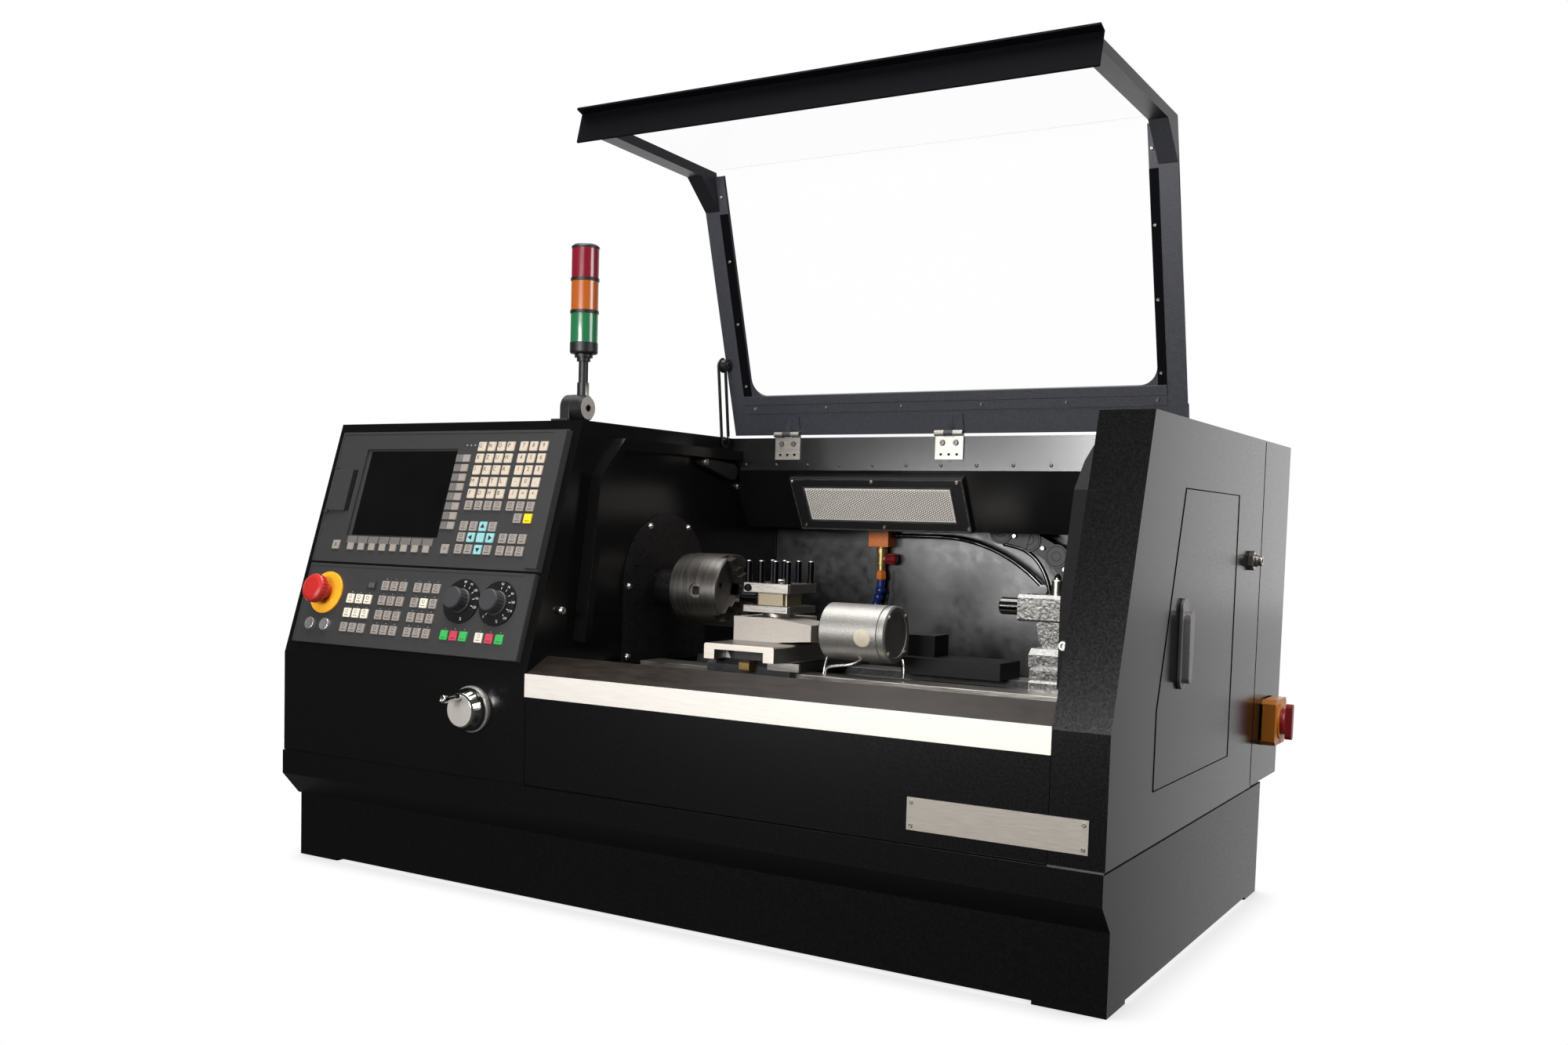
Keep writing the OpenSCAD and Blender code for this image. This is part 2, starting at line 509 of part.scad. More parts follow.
module hood_frame() color("#38383b") s() {
    for (x = [hood_x0, hood_x1 - rail_w])
        prism(x, x + rail_w, [p1(hood_l1, guard_t), p1(0.7207 * guard_t, guard_t),
        p2(hood_e(guard_t), guard_t), p2(hood_e(guard_t + 13), guard_t + 13),
        p2(40, guard_t + 13), p1(56, guard_t + 5), p1(hood_l1, guard_t + 5)]);
    on_leg1() translate([0, -guard_t, 0]) rotate([90, 0, 0]) linear_extrude(height = 5) difference() {
        translate([hood_x0 + 1, -hood_l1]) square([hood_x1 - hood_x0 - 2, hood_l1 - 8]);
        translate([hood_x0 + 38, 84 - hood_l1]) square([hood_x1 - hood_x0 - 73.5, hood_l1]);
        translate([hood_x0 + 63, 59 - hood_l1]) square([hood_x1 - hood_x0 - 123.5, 100]);
        for (x = [hood_x0 + 63, hood_x1 - 60.5]) translate([x, 84 - hood_l1]) circle(r = 25, $fn = 64);
    }
    on_leg1() bx(hood_x0, hood_x1, -guard_t - 0.01, 0, -hood_l1, 33 - hood_l1);
}

module hood_trim() color("#2c2c2f") s() {
    b = hood_x1 - 35.5;
    on_leg1() {
        bx(hood_x0 + rail_w, hood_x1 - rail_w, -guard_t - 6.5, -guard_t - 5, 45.7 - hood_l1, 59 - hood_l1);
        bx(hood_x0 + rail_w, hood_x1 - rail_w, -guard_t - 6, -guard_t - 5, 32.5 - hood_l1, 45.2 - hood_l1);
        for (x = [hood_x0 + rail_w, b])
            bx(x, x == b ? hood_x1 - rail_w : hood_x0 + 38, -guard_t - 6.2, -guard_t - 5, 59.4 - hood_l1,
            -60);
    }
    prism(hood_x0, hood_x1, [p2(hood_l2, -6.8), p2(hood_l2 - 10.4, -3.4), p2(hood_l2 - 1.5, 33.4),
        p2(hood_l2 - 4.42, 34.1), p2(hood_l2 - 13.97, -5.39),
        p2(hood_l2 - 0.93, -9.65)]);
}

module hood_window() color("#cfd8dc", 0.4) s()
    prism(hood_x0, hood_x1, [p1(hood_l1 - 33.1, 0), p1(0, 0), p2(hood_e(0), 0),
    p2(hood_e(guard_t), guard_t - 0.02), p2(0.7207 * guard_t, guard_t - 0.02),
    p1(hood_l1 - 33.1, guard_t - 0.02)]);

module hinge_fixed() color("#b8bcc0") s() difference() {
    for (x = hinge_x) {
        bx(x, x + 42, 465, 467.5, top_z - 32, top_z - 0.8);
        for (u = [0, 28]) {
            bx(x + u, x + u + 14, 465, 467.5, top_z - 1, hinge_z);
            cx(x + u, x + u + 14, hinge_y, hinge_z, 4.3);
        }
    }
    for (x = hinge_x) cx(x - 1, x + 43, hinge_y, hinge_z, 2 + hinge_c);
}

module hinge_moving() color("#2a2a2d") s() for (x = hinge_x) {
    cx(x, x + 42, hinge_y, hinge_z, 2);
    cx(x + 14.1, x + 27.9, hinge_y, hinge_z, 4.3);
    on_leg1() {
        bx(x, x + 42, -guard_t - 7, -guard_t - 5, 6 - hood_t, 26 - hood_t);
        bx(x + 14.1, x + 27.9, -guard_t - 7.5, -guard_t - 5, -hood_t, 26 - hood_t);
    }
}

module stay_arm() color("#1f2022") s() translate([work_x0 + 1.5, stay_y, stay_z]) rotate([7.14, 0, 0])
    rotate([90, 0, 90]) linear_extrude(height = 2) difference() {
    union() {
        circle(r = 9, $fn = 64);
        translate([-12, 7]) square([24, 103]);
        translate([0, 110]) circle(r = 12, $fn = 64);
        translate([-9, 0]) square([18, 8]);
    }
    circle(r = 6.05, $fn = 64);
    translate([-6, 0]) square([12, 114]);
    translate([0, 114]) circle(r = 6, $fn = 64);
}

module stay_stud() color("#1f2022") s() {
    on_leg1() bx(hood_x0, hood_x0 + 3, -23, -guard_t - 5, 102 - hood_l1, 115 - hood_l1);
    translate([work_x0 + 0.8, 428, top_z + 105]) rotate([0, 90, 0]) difference() {
        turn([[0, 0], [2, 0], [2, 3], [11, 3], [11, hood_x0 - work_x0 - 0.8],
            [8.6, hood_x0 - work_x0 - 0.8], [8.6, 11], [7.6, 12], [5, 12], [5, 13.5], [4, 14.5], [0, 14.5]],
            64);
        translate([0, 0, 12]) cylinder(r = 2.2, h = 4, $fn = 6);
    }
}

module panels() color("#1e1f21") s() on_panel() difference() {
    union() {
        prism(13, 430, [[-bezel_t, 133.5], [-bezel_t, 326.5], [0, 326.5], [0, 133.5]]);
        bx(14, 428, -bezel_t, 0, 16, 130.5);
        bx(410, 430, -bezel_t - 5, -bezel_t + 1, 136, 324);
        for (z = [205, 269.9]) bx(16, 22, -bezel_t - 3.4, -bezel_t + 0.1, z, z + 2.7);
        for (x = [314.2, 376.4]) cy(-bezel_t - 2.5, -bezel_t + 1, x, 88.3, dial_d / 2);
    }
    bx(70, 243, -bezel_t - 1, -4, 172.5, 300.5);
    cy(-20, 1, 61, 88, 11.3);
    for (x = [44.6, 73.6]) cy(-20, 1, x, 42.5, 8.8);
    for (x = [314.2, 376.4]) cy(-20, 1, x, 88.3, 3.05);
    cz(200, 280, 18.6, -bezel_t - 1.6, 0.85);
}

module screen() color("#3c6e9c") s() on_panel() bx(78, 240.3, -5.2, -4, 174.5, 298);

// One key cap, drawn in towards its top, centred on (x, z) of the panel.
module key_cap(x, z, w, h) translate([x, -bezel_t, z]) {
    bx(-w / 2, w / 2, -key_rise * 0.65, 0, -h / 2, h / 2);
    bx(-w / 2 + 0.5, w / 2 - 0.5, -key_rise, -key_rise * 0.65, -h / 2 + 0.5, h / 2 - 0.5);
}

module keys() color("#d9d2bd") s() on_panel() {
    letter_x = [286.7, 303.9, 320.8, 337.3];
    digit_x = [359.8, 376.6, 393.8];
    mode_x = [110, 126.8, 143.4];
    jog_x = [170.5, 187, 203.7, 230.7, 247.6, 264.6];
    for (z = [303, 286.3, 269.7, 253, 236.4, 219.9]) for (x = concat(letter_x, digit_x))
        key_cap(x, z, 15, 13.6);
    for (x = [376.6, 393.8]) key_cap(x, 203.5, 15, 13.6);
    for (z = [191, 175.5, 159]) for (x = letter_x) key_cap(x, z, 15, 13.6);
    for (z = [175.5, 159]) for (x = digit_x) key_cap(x, z, 15, 13.6);
    for (i = [0 : 7]) {
        key_cap(257, 190.9 + i * 13.64, 25, 10.5);
        key_cap(84.5 + i * 20.55, 161.5, 19, 20);
    }
    for (x = [55, 262.6]) key_cap(x, 158.2, 14, 13.6);
    for (z = [82.1, 61.8, 41.3]) for (x = concat(mode_x, jog_x)) key_cap(x, z, 14.4, 13);
    for (x = jog_x) key_cap(x, 102.9, 14.4, 13);
    for (x = [297, 313.4, 330, 357.2, 374.7, 391.6]) key_cap(x, 41.8, 14.4, 13);
    bx(136, 152, -bezel_t - 1, -bezel_t, 97, 107.5);
}

module usb_flap() color("#26272a") s() on_panel() {
    bx(18.6, 54.5, -bezel_t - 3, -bezel_t, 208.1, 269.5);
    cz(208.1, 269.5, 18.6, -bezel_t - 1.6, 1.3);
    cz(205.5, 272.2, 18.6, -bezel_t - 1.6, 0.8);
}

module stop_ring() color("#e2c22d") s() on_panel() difference() {
    cy(-bezel_t - 3, -bezel_t, 61, 88, ring_d / 2);
    cy(-bezel_t - 5, 0, 61, 88, 11.05);
}

module stop_head() color("#c4261d") s() on_panel() translate([61, -bezel_t, 88]) rotate([90, 0, 0])
    difference() {
    r = stop_d / 2;
    turn([[0, -1.4], [11, -1.4], [11, 15], [r - 5, 15.5], [r - 1, 17], [r, 19], [r, 26], [r - 1.5, 28.5],
        [r - 6, 30.4], [0, 31]]);
    for (a = [0 : 15 : 345]) rotate([0, 0, a]) translate([r + 1.1, 0, 14])
        cylinder(r = 1.7, h = 20, $fn = 16);
}

module button(x) s() on_panel() translate([x, -bezel_t, 42.5]) rotate([90, 0, 0])
    turn([[0, -3.4], [8.75, -3.4], [8.75, 4.2], [8, 5], [0, 4.4]]);
module button_a() color("#c9ccd0") button(44.6);
module button_b() color("#c9ccd0") button(73.6);

module dial(x) s() on_panel() translate([x, -bezel_t - 2.5, 88.3]) rotate([90, 0, 0]) difference() {
    turn([[0, -1.9], [3, -1.9], [3, 0], [16.5, 0], [16.5, 3], [15.4, 4], [14.8, 17.5], [13.5, 19.5],
        [0, 19.5]]);
    for (a = [0 : 20 : 340]) rotate([0, 0, a]) translate([16.4, 0, 4.5]) cylinder(r = 1.8, h = 20, $fn = 16);
}
module dial_left() color("#4a4b4e") dial(314.2);
module dial_right() color("#4a4b4e") dial(376.4);

module mpg_flange() color("#9a9da1") s() translate([354, enc_front, knee_z - 49]) rotate([90, 0, 0])
    difference() {
    turn([[4.05, 0], [mpg_d / 2, 0], [mpg_d / 2, 4.5], [mpg_d / 2 - 1.5, 6], [4.05, 6]]);
    for (a = [30 : 60 : 330]) rotate([0, 0, a]) translate([mpg_d / 2, 0, 5]) cylinder(r = 1, h = 3, $fn = 16);
}

module mpg_wheel() color("#d7d9dc") s() {
    z = knee_z - 49;
    translate([354, enc_front, z]) rotate([90, 0, 0])
        turn([[0, 0.5], [4, 0.5], [4, 6.05], [mpg_d / 2 - 3, 6.05], [mpg_d / 2 - 2, 7], [mpg_d / 2 - 3, 12],
        [22.5, 23], [20.5, 25], [0, 25]]);
    cy(front_tip + 4, enc_front - 24, 354, z + 17, 2);
}

module mpg_crank() color("#c9ccd0") s() translate([354, front_tip, knee_z - 32]) rotate([-90, 0, 0])
    turn([[3.4, 0], [4.2, 0], [5, 1], [5.2, 6], [4.2, 20], [4.8, 27], [4, 29.5], [2.05, 29.5], [2.05, 4],
        [3.4, 4]], 48);

module stack_base() color("#1b1c1e") s() difference() {
    union() {
        cx(395, 411, 135, top_z + 18, 18);
        bx(395, 411, 117, 153, top_z, top_z + 18);
        bx(384, 411, 112, 158, top_z, top_z + 3);
    }
    cx(388, 412, 135, top_z + 18, 5.05);
}

module stack_pole() color("#1b1c1e") s() {
    r = lamp_d / 2;
    h = 3 * lens_h;
    translate([396, 135, top_z + 18]) rotate([0, 90, 0])
        turn([[0, 0], [5, 0], [5, 15.02], [17.6, 15.02], [17.6, 29], [15, 32], [0, 32]], 64);
    translate([419, 135, top_z]) turn([[0, 30], [7.9, 30], [7.9, 51], [6.3, 51], [6.3, 79], [9, 79],
        [9, 84], [12, 84], [12, 88], [r - 1, 89], [r, 91], [r, 102.7], [8, 102.7],
        [8, 98.7 + lens_h + 4], [r + 0.4, 98.7 + lens_h + 4], [r + 0.4, 102.7 + lens_h + 4],
            [8, 102.7 + lens_h + 4], [8, 102.7 + 2 * lens_h + 4], [r + 0.4, 102.7 + 2 * lens_h + 4],
        [r + 0.4, 106.7 + 2 * lens_h + 4], [8, 106.7 + 2 * lens_h + 4], [8, 110.7 + h], [r, 110.7 + h],
            [r, 113.5 + h], [r - 3, 116 + h], [0, 117 + h]]);
}

module signal_lenses() color("#3aa655") s() for (i = [0 : 2]) difference() {
    cz(top_z + 102.7 + i * (lens_h + 4), top_z + 102.7 + i * (lens_h + 4) + lens_h, 419, 135, lamp_d / 2);
    cz(top_z + 102, top_z + 300, 419, 135, 8.1);
}

module side_door() color("#333336") s() {
    difference() {
        prism(stand_w - sheet_t, stand_w,
            [[234.6, top_z - 77.2], [475, top_z - 77.2], [475, top_z - 403.8], [156.2, top_z - 403.3],
            [156.2, top_z - 317.2]]);
        cx(stand_w - 10, stand_w + 5, 240, spin_z - 1.5, 6.05);
    }
    bx(stand_w - 6, stand_w - 0.5, 469, 475, top_z - 403.8, top_z - 77.2);
    cz(top_z - 413, top_z - 68, stand_w - 3.2, 472, 2);
    cz(top_z - 404.98, top_z - 403, stand_w - 3.2, 472, 2.8);
}

module door_latch() color("#77797c") s() {
    z = spin_z - 1.5;
    cx(stand_w - 5.5, stand_w + 8, 240, z, 6);
    cx(stand_w - 5.5, stand_w - 2.6, 240, z, 9);
    translate([stand_w + 0.1, 240, z]) rotate([90, 0, 90]) {
        linear_extrude(height = 4) union() {
            circle(r = 12, $fn = 64);
            translate([-12, -66]) square([24, 78]);
            translate([0, -66]) circle(r = 12, $fn = 64);
            translate([0, 12]) circle(r = 12, $fn = 64);
        }
        translate([0, 0, 3.99]) linear_extrude(height = 8) union() {
            circle(r = 9.5, $fn = 64);
            polygon([[-9.5, 0], [9.5, 0], [7, -64], [-7, -64]]);
            translate([0, -64]) circle(r = 7, $fn = 64);
        }
    }
}

module switch_box() color("#e8731f") s() difference() {
    union() {
        translate([stand_w, 685.5, stand_h + 84.5]) rotate([90, 0, 90]) linear_extrude(height = 20)
            difference() {
            square([65, 63], center = true);
            for (a = [-1, 1]) for (b = [-1, 1]) translate([a * 32.5, b * 31.5]) rotate([0, 0, 45])
                square([8, 8], center = true);
        }
        cx(stand_w + 19, stand_w + 22, 685.5, stand_h + 84.5, 24);
    }
    cx(stand_w + 8, stand_w + 30, 685.5, stand_h + 84.5, 6.05);
}

module switch_handle() color("#c4261d") s() translate([stand_w, 685.5, stand_h + 84.5]) rotate([0, 90, 0]) {
    turn([[0, 8.1], [6, 8.1], [6, 22.1], [18, 22.1], [18, 26], [16, 28], [0, 28]], 64);
    translate([0, 0, 27]) linear_extrude(height = sw_tip - stand_w - 27) union() {
        translate([-19, -5.5]) square([38, 11]);
        for (a = [-19, 19]) translate([a, 0]) circle(r = 5.5, $fn = 48);
    }
}

module air_fitting() color("#c3c6c9") s() translate([stand_w, 548, spin_z + 62.5]) rotate([0, 90, 0]) {
    cylinder(r = 12.7, h = 6, $fn = 6);
    turn([[0, 5], [8, 5], [8, 10], [6.5, 11], [6.5, 12.5], [7.2, 13], [7.2, 15], [6, 16], [3, 16], [3, 10],
        [0, 10]], 48);
}

base_stand();
left_housing();
right_housing();
rear_cabinet();
work_back();
top_beam();
front_sill();
sill_trim();
spindle_cover();
spindle();
jaw_a();
jaw_b();
jaw_c3();
bed();
saddle();
cross_slide();
turret_base();
turret_motor();
turret();
tool_bolts();
tailstock();
quill();
quill_lock();
work_light();
light_lens();
wall_arm();
coolant_block();
coolant_valve();
valve_knob();
coolant_pipe();
coolant_hose();
cable_chain();
hood_frame();
hood_trim();
hood_window();
hinge_fixed();
hinge_moving();
stay_arm();
stay_stud();
panels();
screen();
keys();
usb_flap();
stop_ring();
stop_head();
button_a();
button_b();
dial_left();
dial_right();
mpg_flange();
mpg_wheel();
mpg_crank();
stack_base();
stack_pole();
signal_lenses();
side_door();
door_latch();
switch_box();
switch_handle();
air_fitting();
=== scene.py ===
import json
import math

import bmesh
import bpy
from mathutils import Matrix, Vector

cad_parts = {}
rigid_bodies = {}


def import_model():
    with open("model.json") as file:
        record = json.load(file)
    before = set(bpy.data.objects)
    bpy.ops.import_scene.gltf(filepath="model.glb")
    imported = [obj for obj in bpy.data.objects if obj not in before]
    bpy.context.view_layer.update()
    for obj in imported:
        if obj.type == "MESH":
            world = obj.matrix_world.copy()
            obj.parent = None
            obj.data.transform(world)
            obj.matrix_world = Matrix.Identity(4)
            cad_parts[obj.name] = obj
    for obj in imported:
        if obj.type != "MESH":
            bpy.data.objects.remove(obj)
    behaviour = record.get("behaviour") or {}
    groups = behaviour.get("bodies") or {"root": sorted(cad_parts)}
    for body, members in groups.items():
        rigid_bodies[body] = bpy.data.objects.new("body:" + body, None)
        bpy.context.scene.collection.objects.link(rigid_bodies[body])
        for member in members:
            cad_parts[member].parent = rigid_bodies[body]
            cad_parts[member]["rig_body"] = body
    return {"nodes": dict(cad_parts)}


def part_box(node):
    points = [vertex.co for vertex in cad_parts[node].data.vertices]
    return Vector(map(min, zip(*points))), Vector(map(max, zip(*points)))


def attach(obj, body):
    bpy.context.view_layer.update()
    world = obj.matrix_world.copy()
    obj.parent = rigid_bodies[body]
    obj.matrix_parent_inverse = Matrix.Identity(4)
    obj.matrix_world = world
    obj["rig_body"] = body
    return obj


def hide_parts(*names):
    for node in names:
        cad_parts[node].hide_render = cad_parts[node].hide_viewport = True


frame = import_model()
nodes = frame["nodes"]
scene = bpy.context.scene
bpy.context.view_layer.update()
MM = 0.001


# ---- Stand and sheet-metal housings ---------------------------------------
# Stand, housings, cabinet, sill and side door are folded from 2.5 mm steel sheet.
# Every outside edge has the soft radius of the press brake, and all of it is powder coated black.
def linear(hex_text):
    """Blender's linear colour for an sRGB hex value."""
    channels = [int(hex_text[i : i + 2], 16) / 255 for i in (1, 3, 5)]
    return [c / 12.92 if c <= 0.04045 else ((c + 0.055) / 1.055) ** 2.4 for c in channels] + [1.0]


def add_node(tree, kind, inputs=None, **settings):
    """Adds a node with its settings, and sets or links its inputs by name or number."""
    node = tree.nodes.new(kind)
    for name, value in settings.items():
        setattr(node, name, value)
    for name, value in (inputs or {}).items():
        if isinstance(value, bpy.types.NodeSocket):
            tree.links.new(value, node.inputs[name])
        else:
            node.inputs[name].default_value = value
    return node


def blend(tree, value, low, high):
    """A number from low to high as the grain goes from its dark to its light spots."""
    spread = {"Value": value, "From Min": 0.3, "From Max": 0.7, "To Min": low, "To Max": high}
    return add_node(tree, "ShaderNodeMapRange", spread).outputs["Result"]


def make_finish(name, colours, grain_mm, relief_mm, roughness, stretch=(1, 1, 1), inputs=None):
    """A material whose colour, gloss and relief follow one grain of a real size in millimetres."""
    material = bpy.data.materials.new(name)
    material.use_nodes = True
    tree = material.node_tree
    shader = tree.nodes["Principled BSDF"]
    for key, value in (inputs or {}).items():
        shader.inputs[key].default_value = value
    place = add_node(tree, "ShaderNodeTexCoord").outputs["Object"]
    along = add_node(tree, "ShaderNodeMapping", {"Vector": place, "Scale": stretch})
    noise = {"Vector": along.outputs["Vector"], "Scale": 1 / (grain_mm * MM), "Detail": 4.0}
    fac = add_node(tree, "ShaderNodeTexNoise", noise).outputs["Fac"]
    tint = add_node(tree, "ShaderNodeMix", {"Factor": blend(tree, fac, 0.0, 1.0)}, data_type="RGBA")
    tint.inputs["A"].default_value, tint.inputs["B"].default_value = linear(colours[0]), linear(colours[1])
    tree.links.new(tint.outputs["Result"], shader.inputs["Base Color"])
    tree.links.new(blend(tree, fac, *roughness), shader.inputs["Roughness"])
    bump = add_node(tree, "ShaderNodeBump", {"Height": fac, "Strength": 1.0, "Distance": relief_mm * MM})
    tree.links.new(bump.outputs["Normal"], shader.inputs["Normal"])
    return material


def at(x, y, z):
    """A place in metres from millimetres right, back and up from the stand's lower front left corner."""
    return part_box("base_stand")[0] + Vector((x, y, z)) * MM


def put(name, data):
    """A new object in the scene."""
    thing = bpy.data.objects.new(name, data)
    scene.collection.objects.link(thing)
    return thing


def baked(thing):
    """The plain mesh that an object shows, with its modifiers and curve thickness applied."""
    return bpy.data.meshes.new_from_object(thing.evaluated_get(bpy.context.evaluated_depsgraph_get()))


def dress(node, materials, round_mm=0.8, pick=None):
    """A CAD node's copy with rounded edges; pick gives a face's material from its middle and normal."""
    source = nodes[node]
    mesh = source.data.copy()
    mesh.materials.clear()
    if "custom_normal" in mesh.attributes:
        mesh.attributes.remove(mesh.attributes["custom_normal"])
    for material in materials if isinstance(materials, (list, tuple)) else [materials]:
        mesh.materials.append(material)
    bm = bmesh.new()
    bm.from_mesh(mesh)
    bmesh.ops.remove_doubles(bm, verts=bm.verts, dist=2e-6)
    bmesh.ops.dissolve_limit(bm, angle_limit=math.radians(0.5), verts=bm.verts, edges=bm.edges)
    origin = at(0, 0, 0)
    for face in bm.faces:
        face.smooth = True
        middle = (face.calc_center_median() - origin) / MM
        face.material_index = pick(middle, face.normal) if pick else 0
    bm.to_mesh(mesh)
    bm.free()
    piece = put(node + "_finished", mesh)
    edge = piece.modifiers.new("edge", "BEVEL")
    edge.width = round_mm * MM
    edge.segments = 2
    edge.limit_method = "ANGLE"
    edge.angle_limit = math.radians(14)
    edge.harden_normals = True
    edge.use_clamp_overlap = True
    piece.data = baked(piece)
    piece.data.name = piece.name
    piece.modifiers.clear()
    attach(piece, source["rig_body"])
    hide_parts(node)


# Baked polyester powder coat: its orange peel is about 1 mm across, drawn at 2.5 mm so that it shows.
powder_coat = make_finish(
    "black powder coat", ("#060607", "#0a0a0b"), 2.5, 0.006, (0.17, 0.24), inputs={"IOR": 1.5}
)
for name in ("left_housing", "rear_cabinet", "side_door"):
    dress(name, powder_coat, 1.2)
# The stand gets a copy of the black coat that shines less: painted shade near the floor.
stand_shade_coat = make_finish(
    "black powder coat with painted shade, on the stand", ("#0b0b0c", "#0f0f10"), 2.5, 0.006, (0.2, 0.28), inputs={"IOR": 1.3}
)
dress("base_stand", stand_shade_coat, 1.2)
# Inside the door opening the faces get a matt copy of the coat that reflects almost nothing: painted shade
# on faces that stand in shadow.
painted_shade_coat = make_finish(
    "powder coat, matt, for painted shade", ("#0a0a0b", "#101011"), 2.5, 0.01, (0.55, 0.7),
    inputs={"Specular IOR Level": 0.15},
)
dress(
    "right_housing", (powder_coat, painted_shade_coat), 1.2,
    lambda middle, out: int(middle.x < 1131 and middle.y > 45 and out.y < 0.9),
)
# The sill's sloping top faces get a paler, browner copy of the coat with a warm specular tint: painted
# light on the top and a painted reflection of the warm interior.
sill_top_reflection_coat = make_finish(
    "powder coat with painted warm reflection", ("#1b1714", "#251f1b"), 9, 0.004, (0.28, 0.38), (0.3, 1, 1),
    {"IOR": 1.31, "Specular Tint": (0.95, 0.84, 0.78, 1)},
)
dress("front_sill", (powder_coat, sill_top_reflection_coat), 1.2, lambda middle, out: int(out.z > 0.8))

# ---- Sill strip and name plate --------------------------------------------
# A stainless strip along the top of the sill, and a blank stainless plate held by four screws.
# Both are cut from sheet brushed along its length, which gives long fine streaks.
brushed_stainless = make_finish(
    "brushed stainless steel", ("#ebe5dd", "#f6f0e8"), 0.8, 0.004, (0.42, 0.54), (0.03, 1, 1),
    {"Metallic": 0.3},
)
plate_stainless = make_finish(
    "brushed stainless name plate", ("#9b948c", "#b0a99f"), 0.7, 0.004, (0.4, 0.52), (0.03, 1, 1),
    {"Metallic": 0.3},
)
dress("sill_trim", (brushed_stainless, plate_stainless), 0.3, lambda middle, out: int(middle.z < 215))


def new_tree(name, sizes):
    """A Geometry Nodes group that takes seat points, named sizes in metres and a material."""
    tree = bpy.data.node_groups.new(name, "GeometryNodeTree")
    tree.is_modifier = True
    tree.interface.new_socket("Geometry", in_out="INPUT", socket_type="NodeSocketGeometry")
    for size in sizes:
        tree.interface.new_socket(size, in_out="INPUT", socket_type="NodeSocketFloat")
    tree.interface.new_socket("Material", in_out="INPUT", socket_type="NodeSocketMaterial")
    tree.interface.new_socket("Geometry", in_out="OUTPUT", socket_type="NodeSocketGeometry")
    return tree, tree.nodes.new("NodeGroupInput").outputs


def set_out(tree, sockets, shape):
    """Ends a tree: the shape on every seat point, made real, with its material."""
    on_seats = add_node(
        tree, "GeometryNodeInstanceOnPoints", {"Points": sockets["Geometry"], "Instance": shape}
    )
    real = add_node(tree, "GeometryNodeRealizeInstances", {"Geometry": on_seats.outputs["Instances"]})
    painted = add_node(
        tree, "GeometryNodeSetMaterial",
        {"Geometry": real.outputs["Geometry"], "Material": sockets["Material"]},
    )
    end = tree.nodes.new("NodeGroupOutput")
    tree.links.new(painted.outputs["Geometry"], end.inputs["Geometry"])


def step_up(tree, mesh, top, rise, scale):
    """Raises the chosen faces by a height and then draws them in, and gives the mesh and its new top."""
    raised = add_node(
        tree, "GeometryNodeExtrudeMesh",
        {"Mesh": mesh, "Selection": top, "Offset Scale": rise, "Individual": False},
    )
    drawn = add_node(
        tree, "GeometryNodeScaleElements",
        {"Geometry": raised.outputs["Mesh"], "Selection": raised.outputs["Top"], "Scale": scale},
    )
    return drawn.outputs["Geometry"], raised.outputs["Top"]


def scaled(tree, value, factor):
    """A size times a factor."""
    return add_node(tree, "ShaderNodeMath", {0: value, 1: factor}, operation="MULTIPLY").outputs[0]


def top_of(tree):
    """The faces that look outwards from the seat."""
    normal = add_node(tree, "GeometryNodeInputNormal")
    height = add_node(tree, "ShaderNodeSeparateXYZ", {0: normal.outputs[0]}).outputs["Z"]
    upright = add_node(tree, "FunctionNodeCompare", {0: height, 1: 0.9}, operation="GREATER_THAN")
    return upright.outputs[0]


def facing(corner, right=(1, 0, 0), out=(0, -1, 0)):
    """The matrix that lays a drawing on the machine at a corner in mm, seen from the front by default."""
    right, out = Vector(right).normalized(), Vector(out).normalized()
    turn = Matrix((right, out.cross(right), out)).transposed().to_4x4()
    return Matrix.Translation(at(*corner)) @ turn


def carry(piece, node):
    """Fixes a finished piece to its node's body."""
    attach(piece, nodes[node]["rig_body"])


def grow(name, tree, seats, sizes, material, node, place, stands_for=()):
    """Runs a tree on seat points in mm and keeps the result as one plain mesh on the node's body."""
    mesh = bpy.data.meshes.new(name)
    mesh.from_pydata([Vector(seat) * MM for seat in seats], [], [])
    piece = put(name, mesh)
    growth = piece.modifiers.new("growth", "NODES")
    growth.node_group = tree
    for item in tree.interface.items_tree:
        if item.in_out == "INPUT" and item.name in sizes:
            growth[item.identifier] = sizes[item.name] * MM
        if item.in_out == "INPUT" and item.name == "Material":
            growth[item.identifier] = material
    piece.data = baked(piece)
    piece.data.name = name
    piece.modifiers.clear()
    piece.data.transform(place)
    carry(piece, node)
    if stands_for:
        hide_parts(*stands_for)


# Socket screw: a domed head with a round socket, sixteen sides.
screw_tree, sockets = new_tree("socket screw", ("Radius", "Height"))
head = add_node(
    screw_tree, "GeometryNodeMeshCylinder",
    {"Vertices": 16, "Radius": sockets["Radius"], "Depth": scaled(screw_tree, sockets["Height"], 0.8)},
)
body, top = step_up(
    screw_tree, head.outputs["Mesh"], top_of(screw_tree), scaled(screw_tree, sockets["Height"], 0.6), 0.84
)
body, top = step_up(screw_tree, body, top, 0.0, 0.55)
body, _ = step_up(screw_tree, body, top, scaled(screw_tree, sockets["Height"], -0.55), 0.8)
set_out(screw_tree, sockets, body)

bright_screw = make_finish(
    "zinc plated screw", ("#b9b7b2", "#dad8d2"), 1.0, 0.002, (0.22, 0.34), inputs={"Metallic": 1.0}
)
black_screw = make_finish(
    "blackened screw", ("#17171a", "#26262a"), 1.0, 0.002, (0.28, 0.4), inputs={"Metallic": 1.0}
)
sill_front = facing((0, 3, 0))
grow(
    "plate_screws", screw_tree, [(x, z, 0.3) for x in (978, 1167) for z in (174, 199)],
    {"Radius": 2.4, "Height": 1.4}, bright_screw, "sill_trim", sill_front,
)

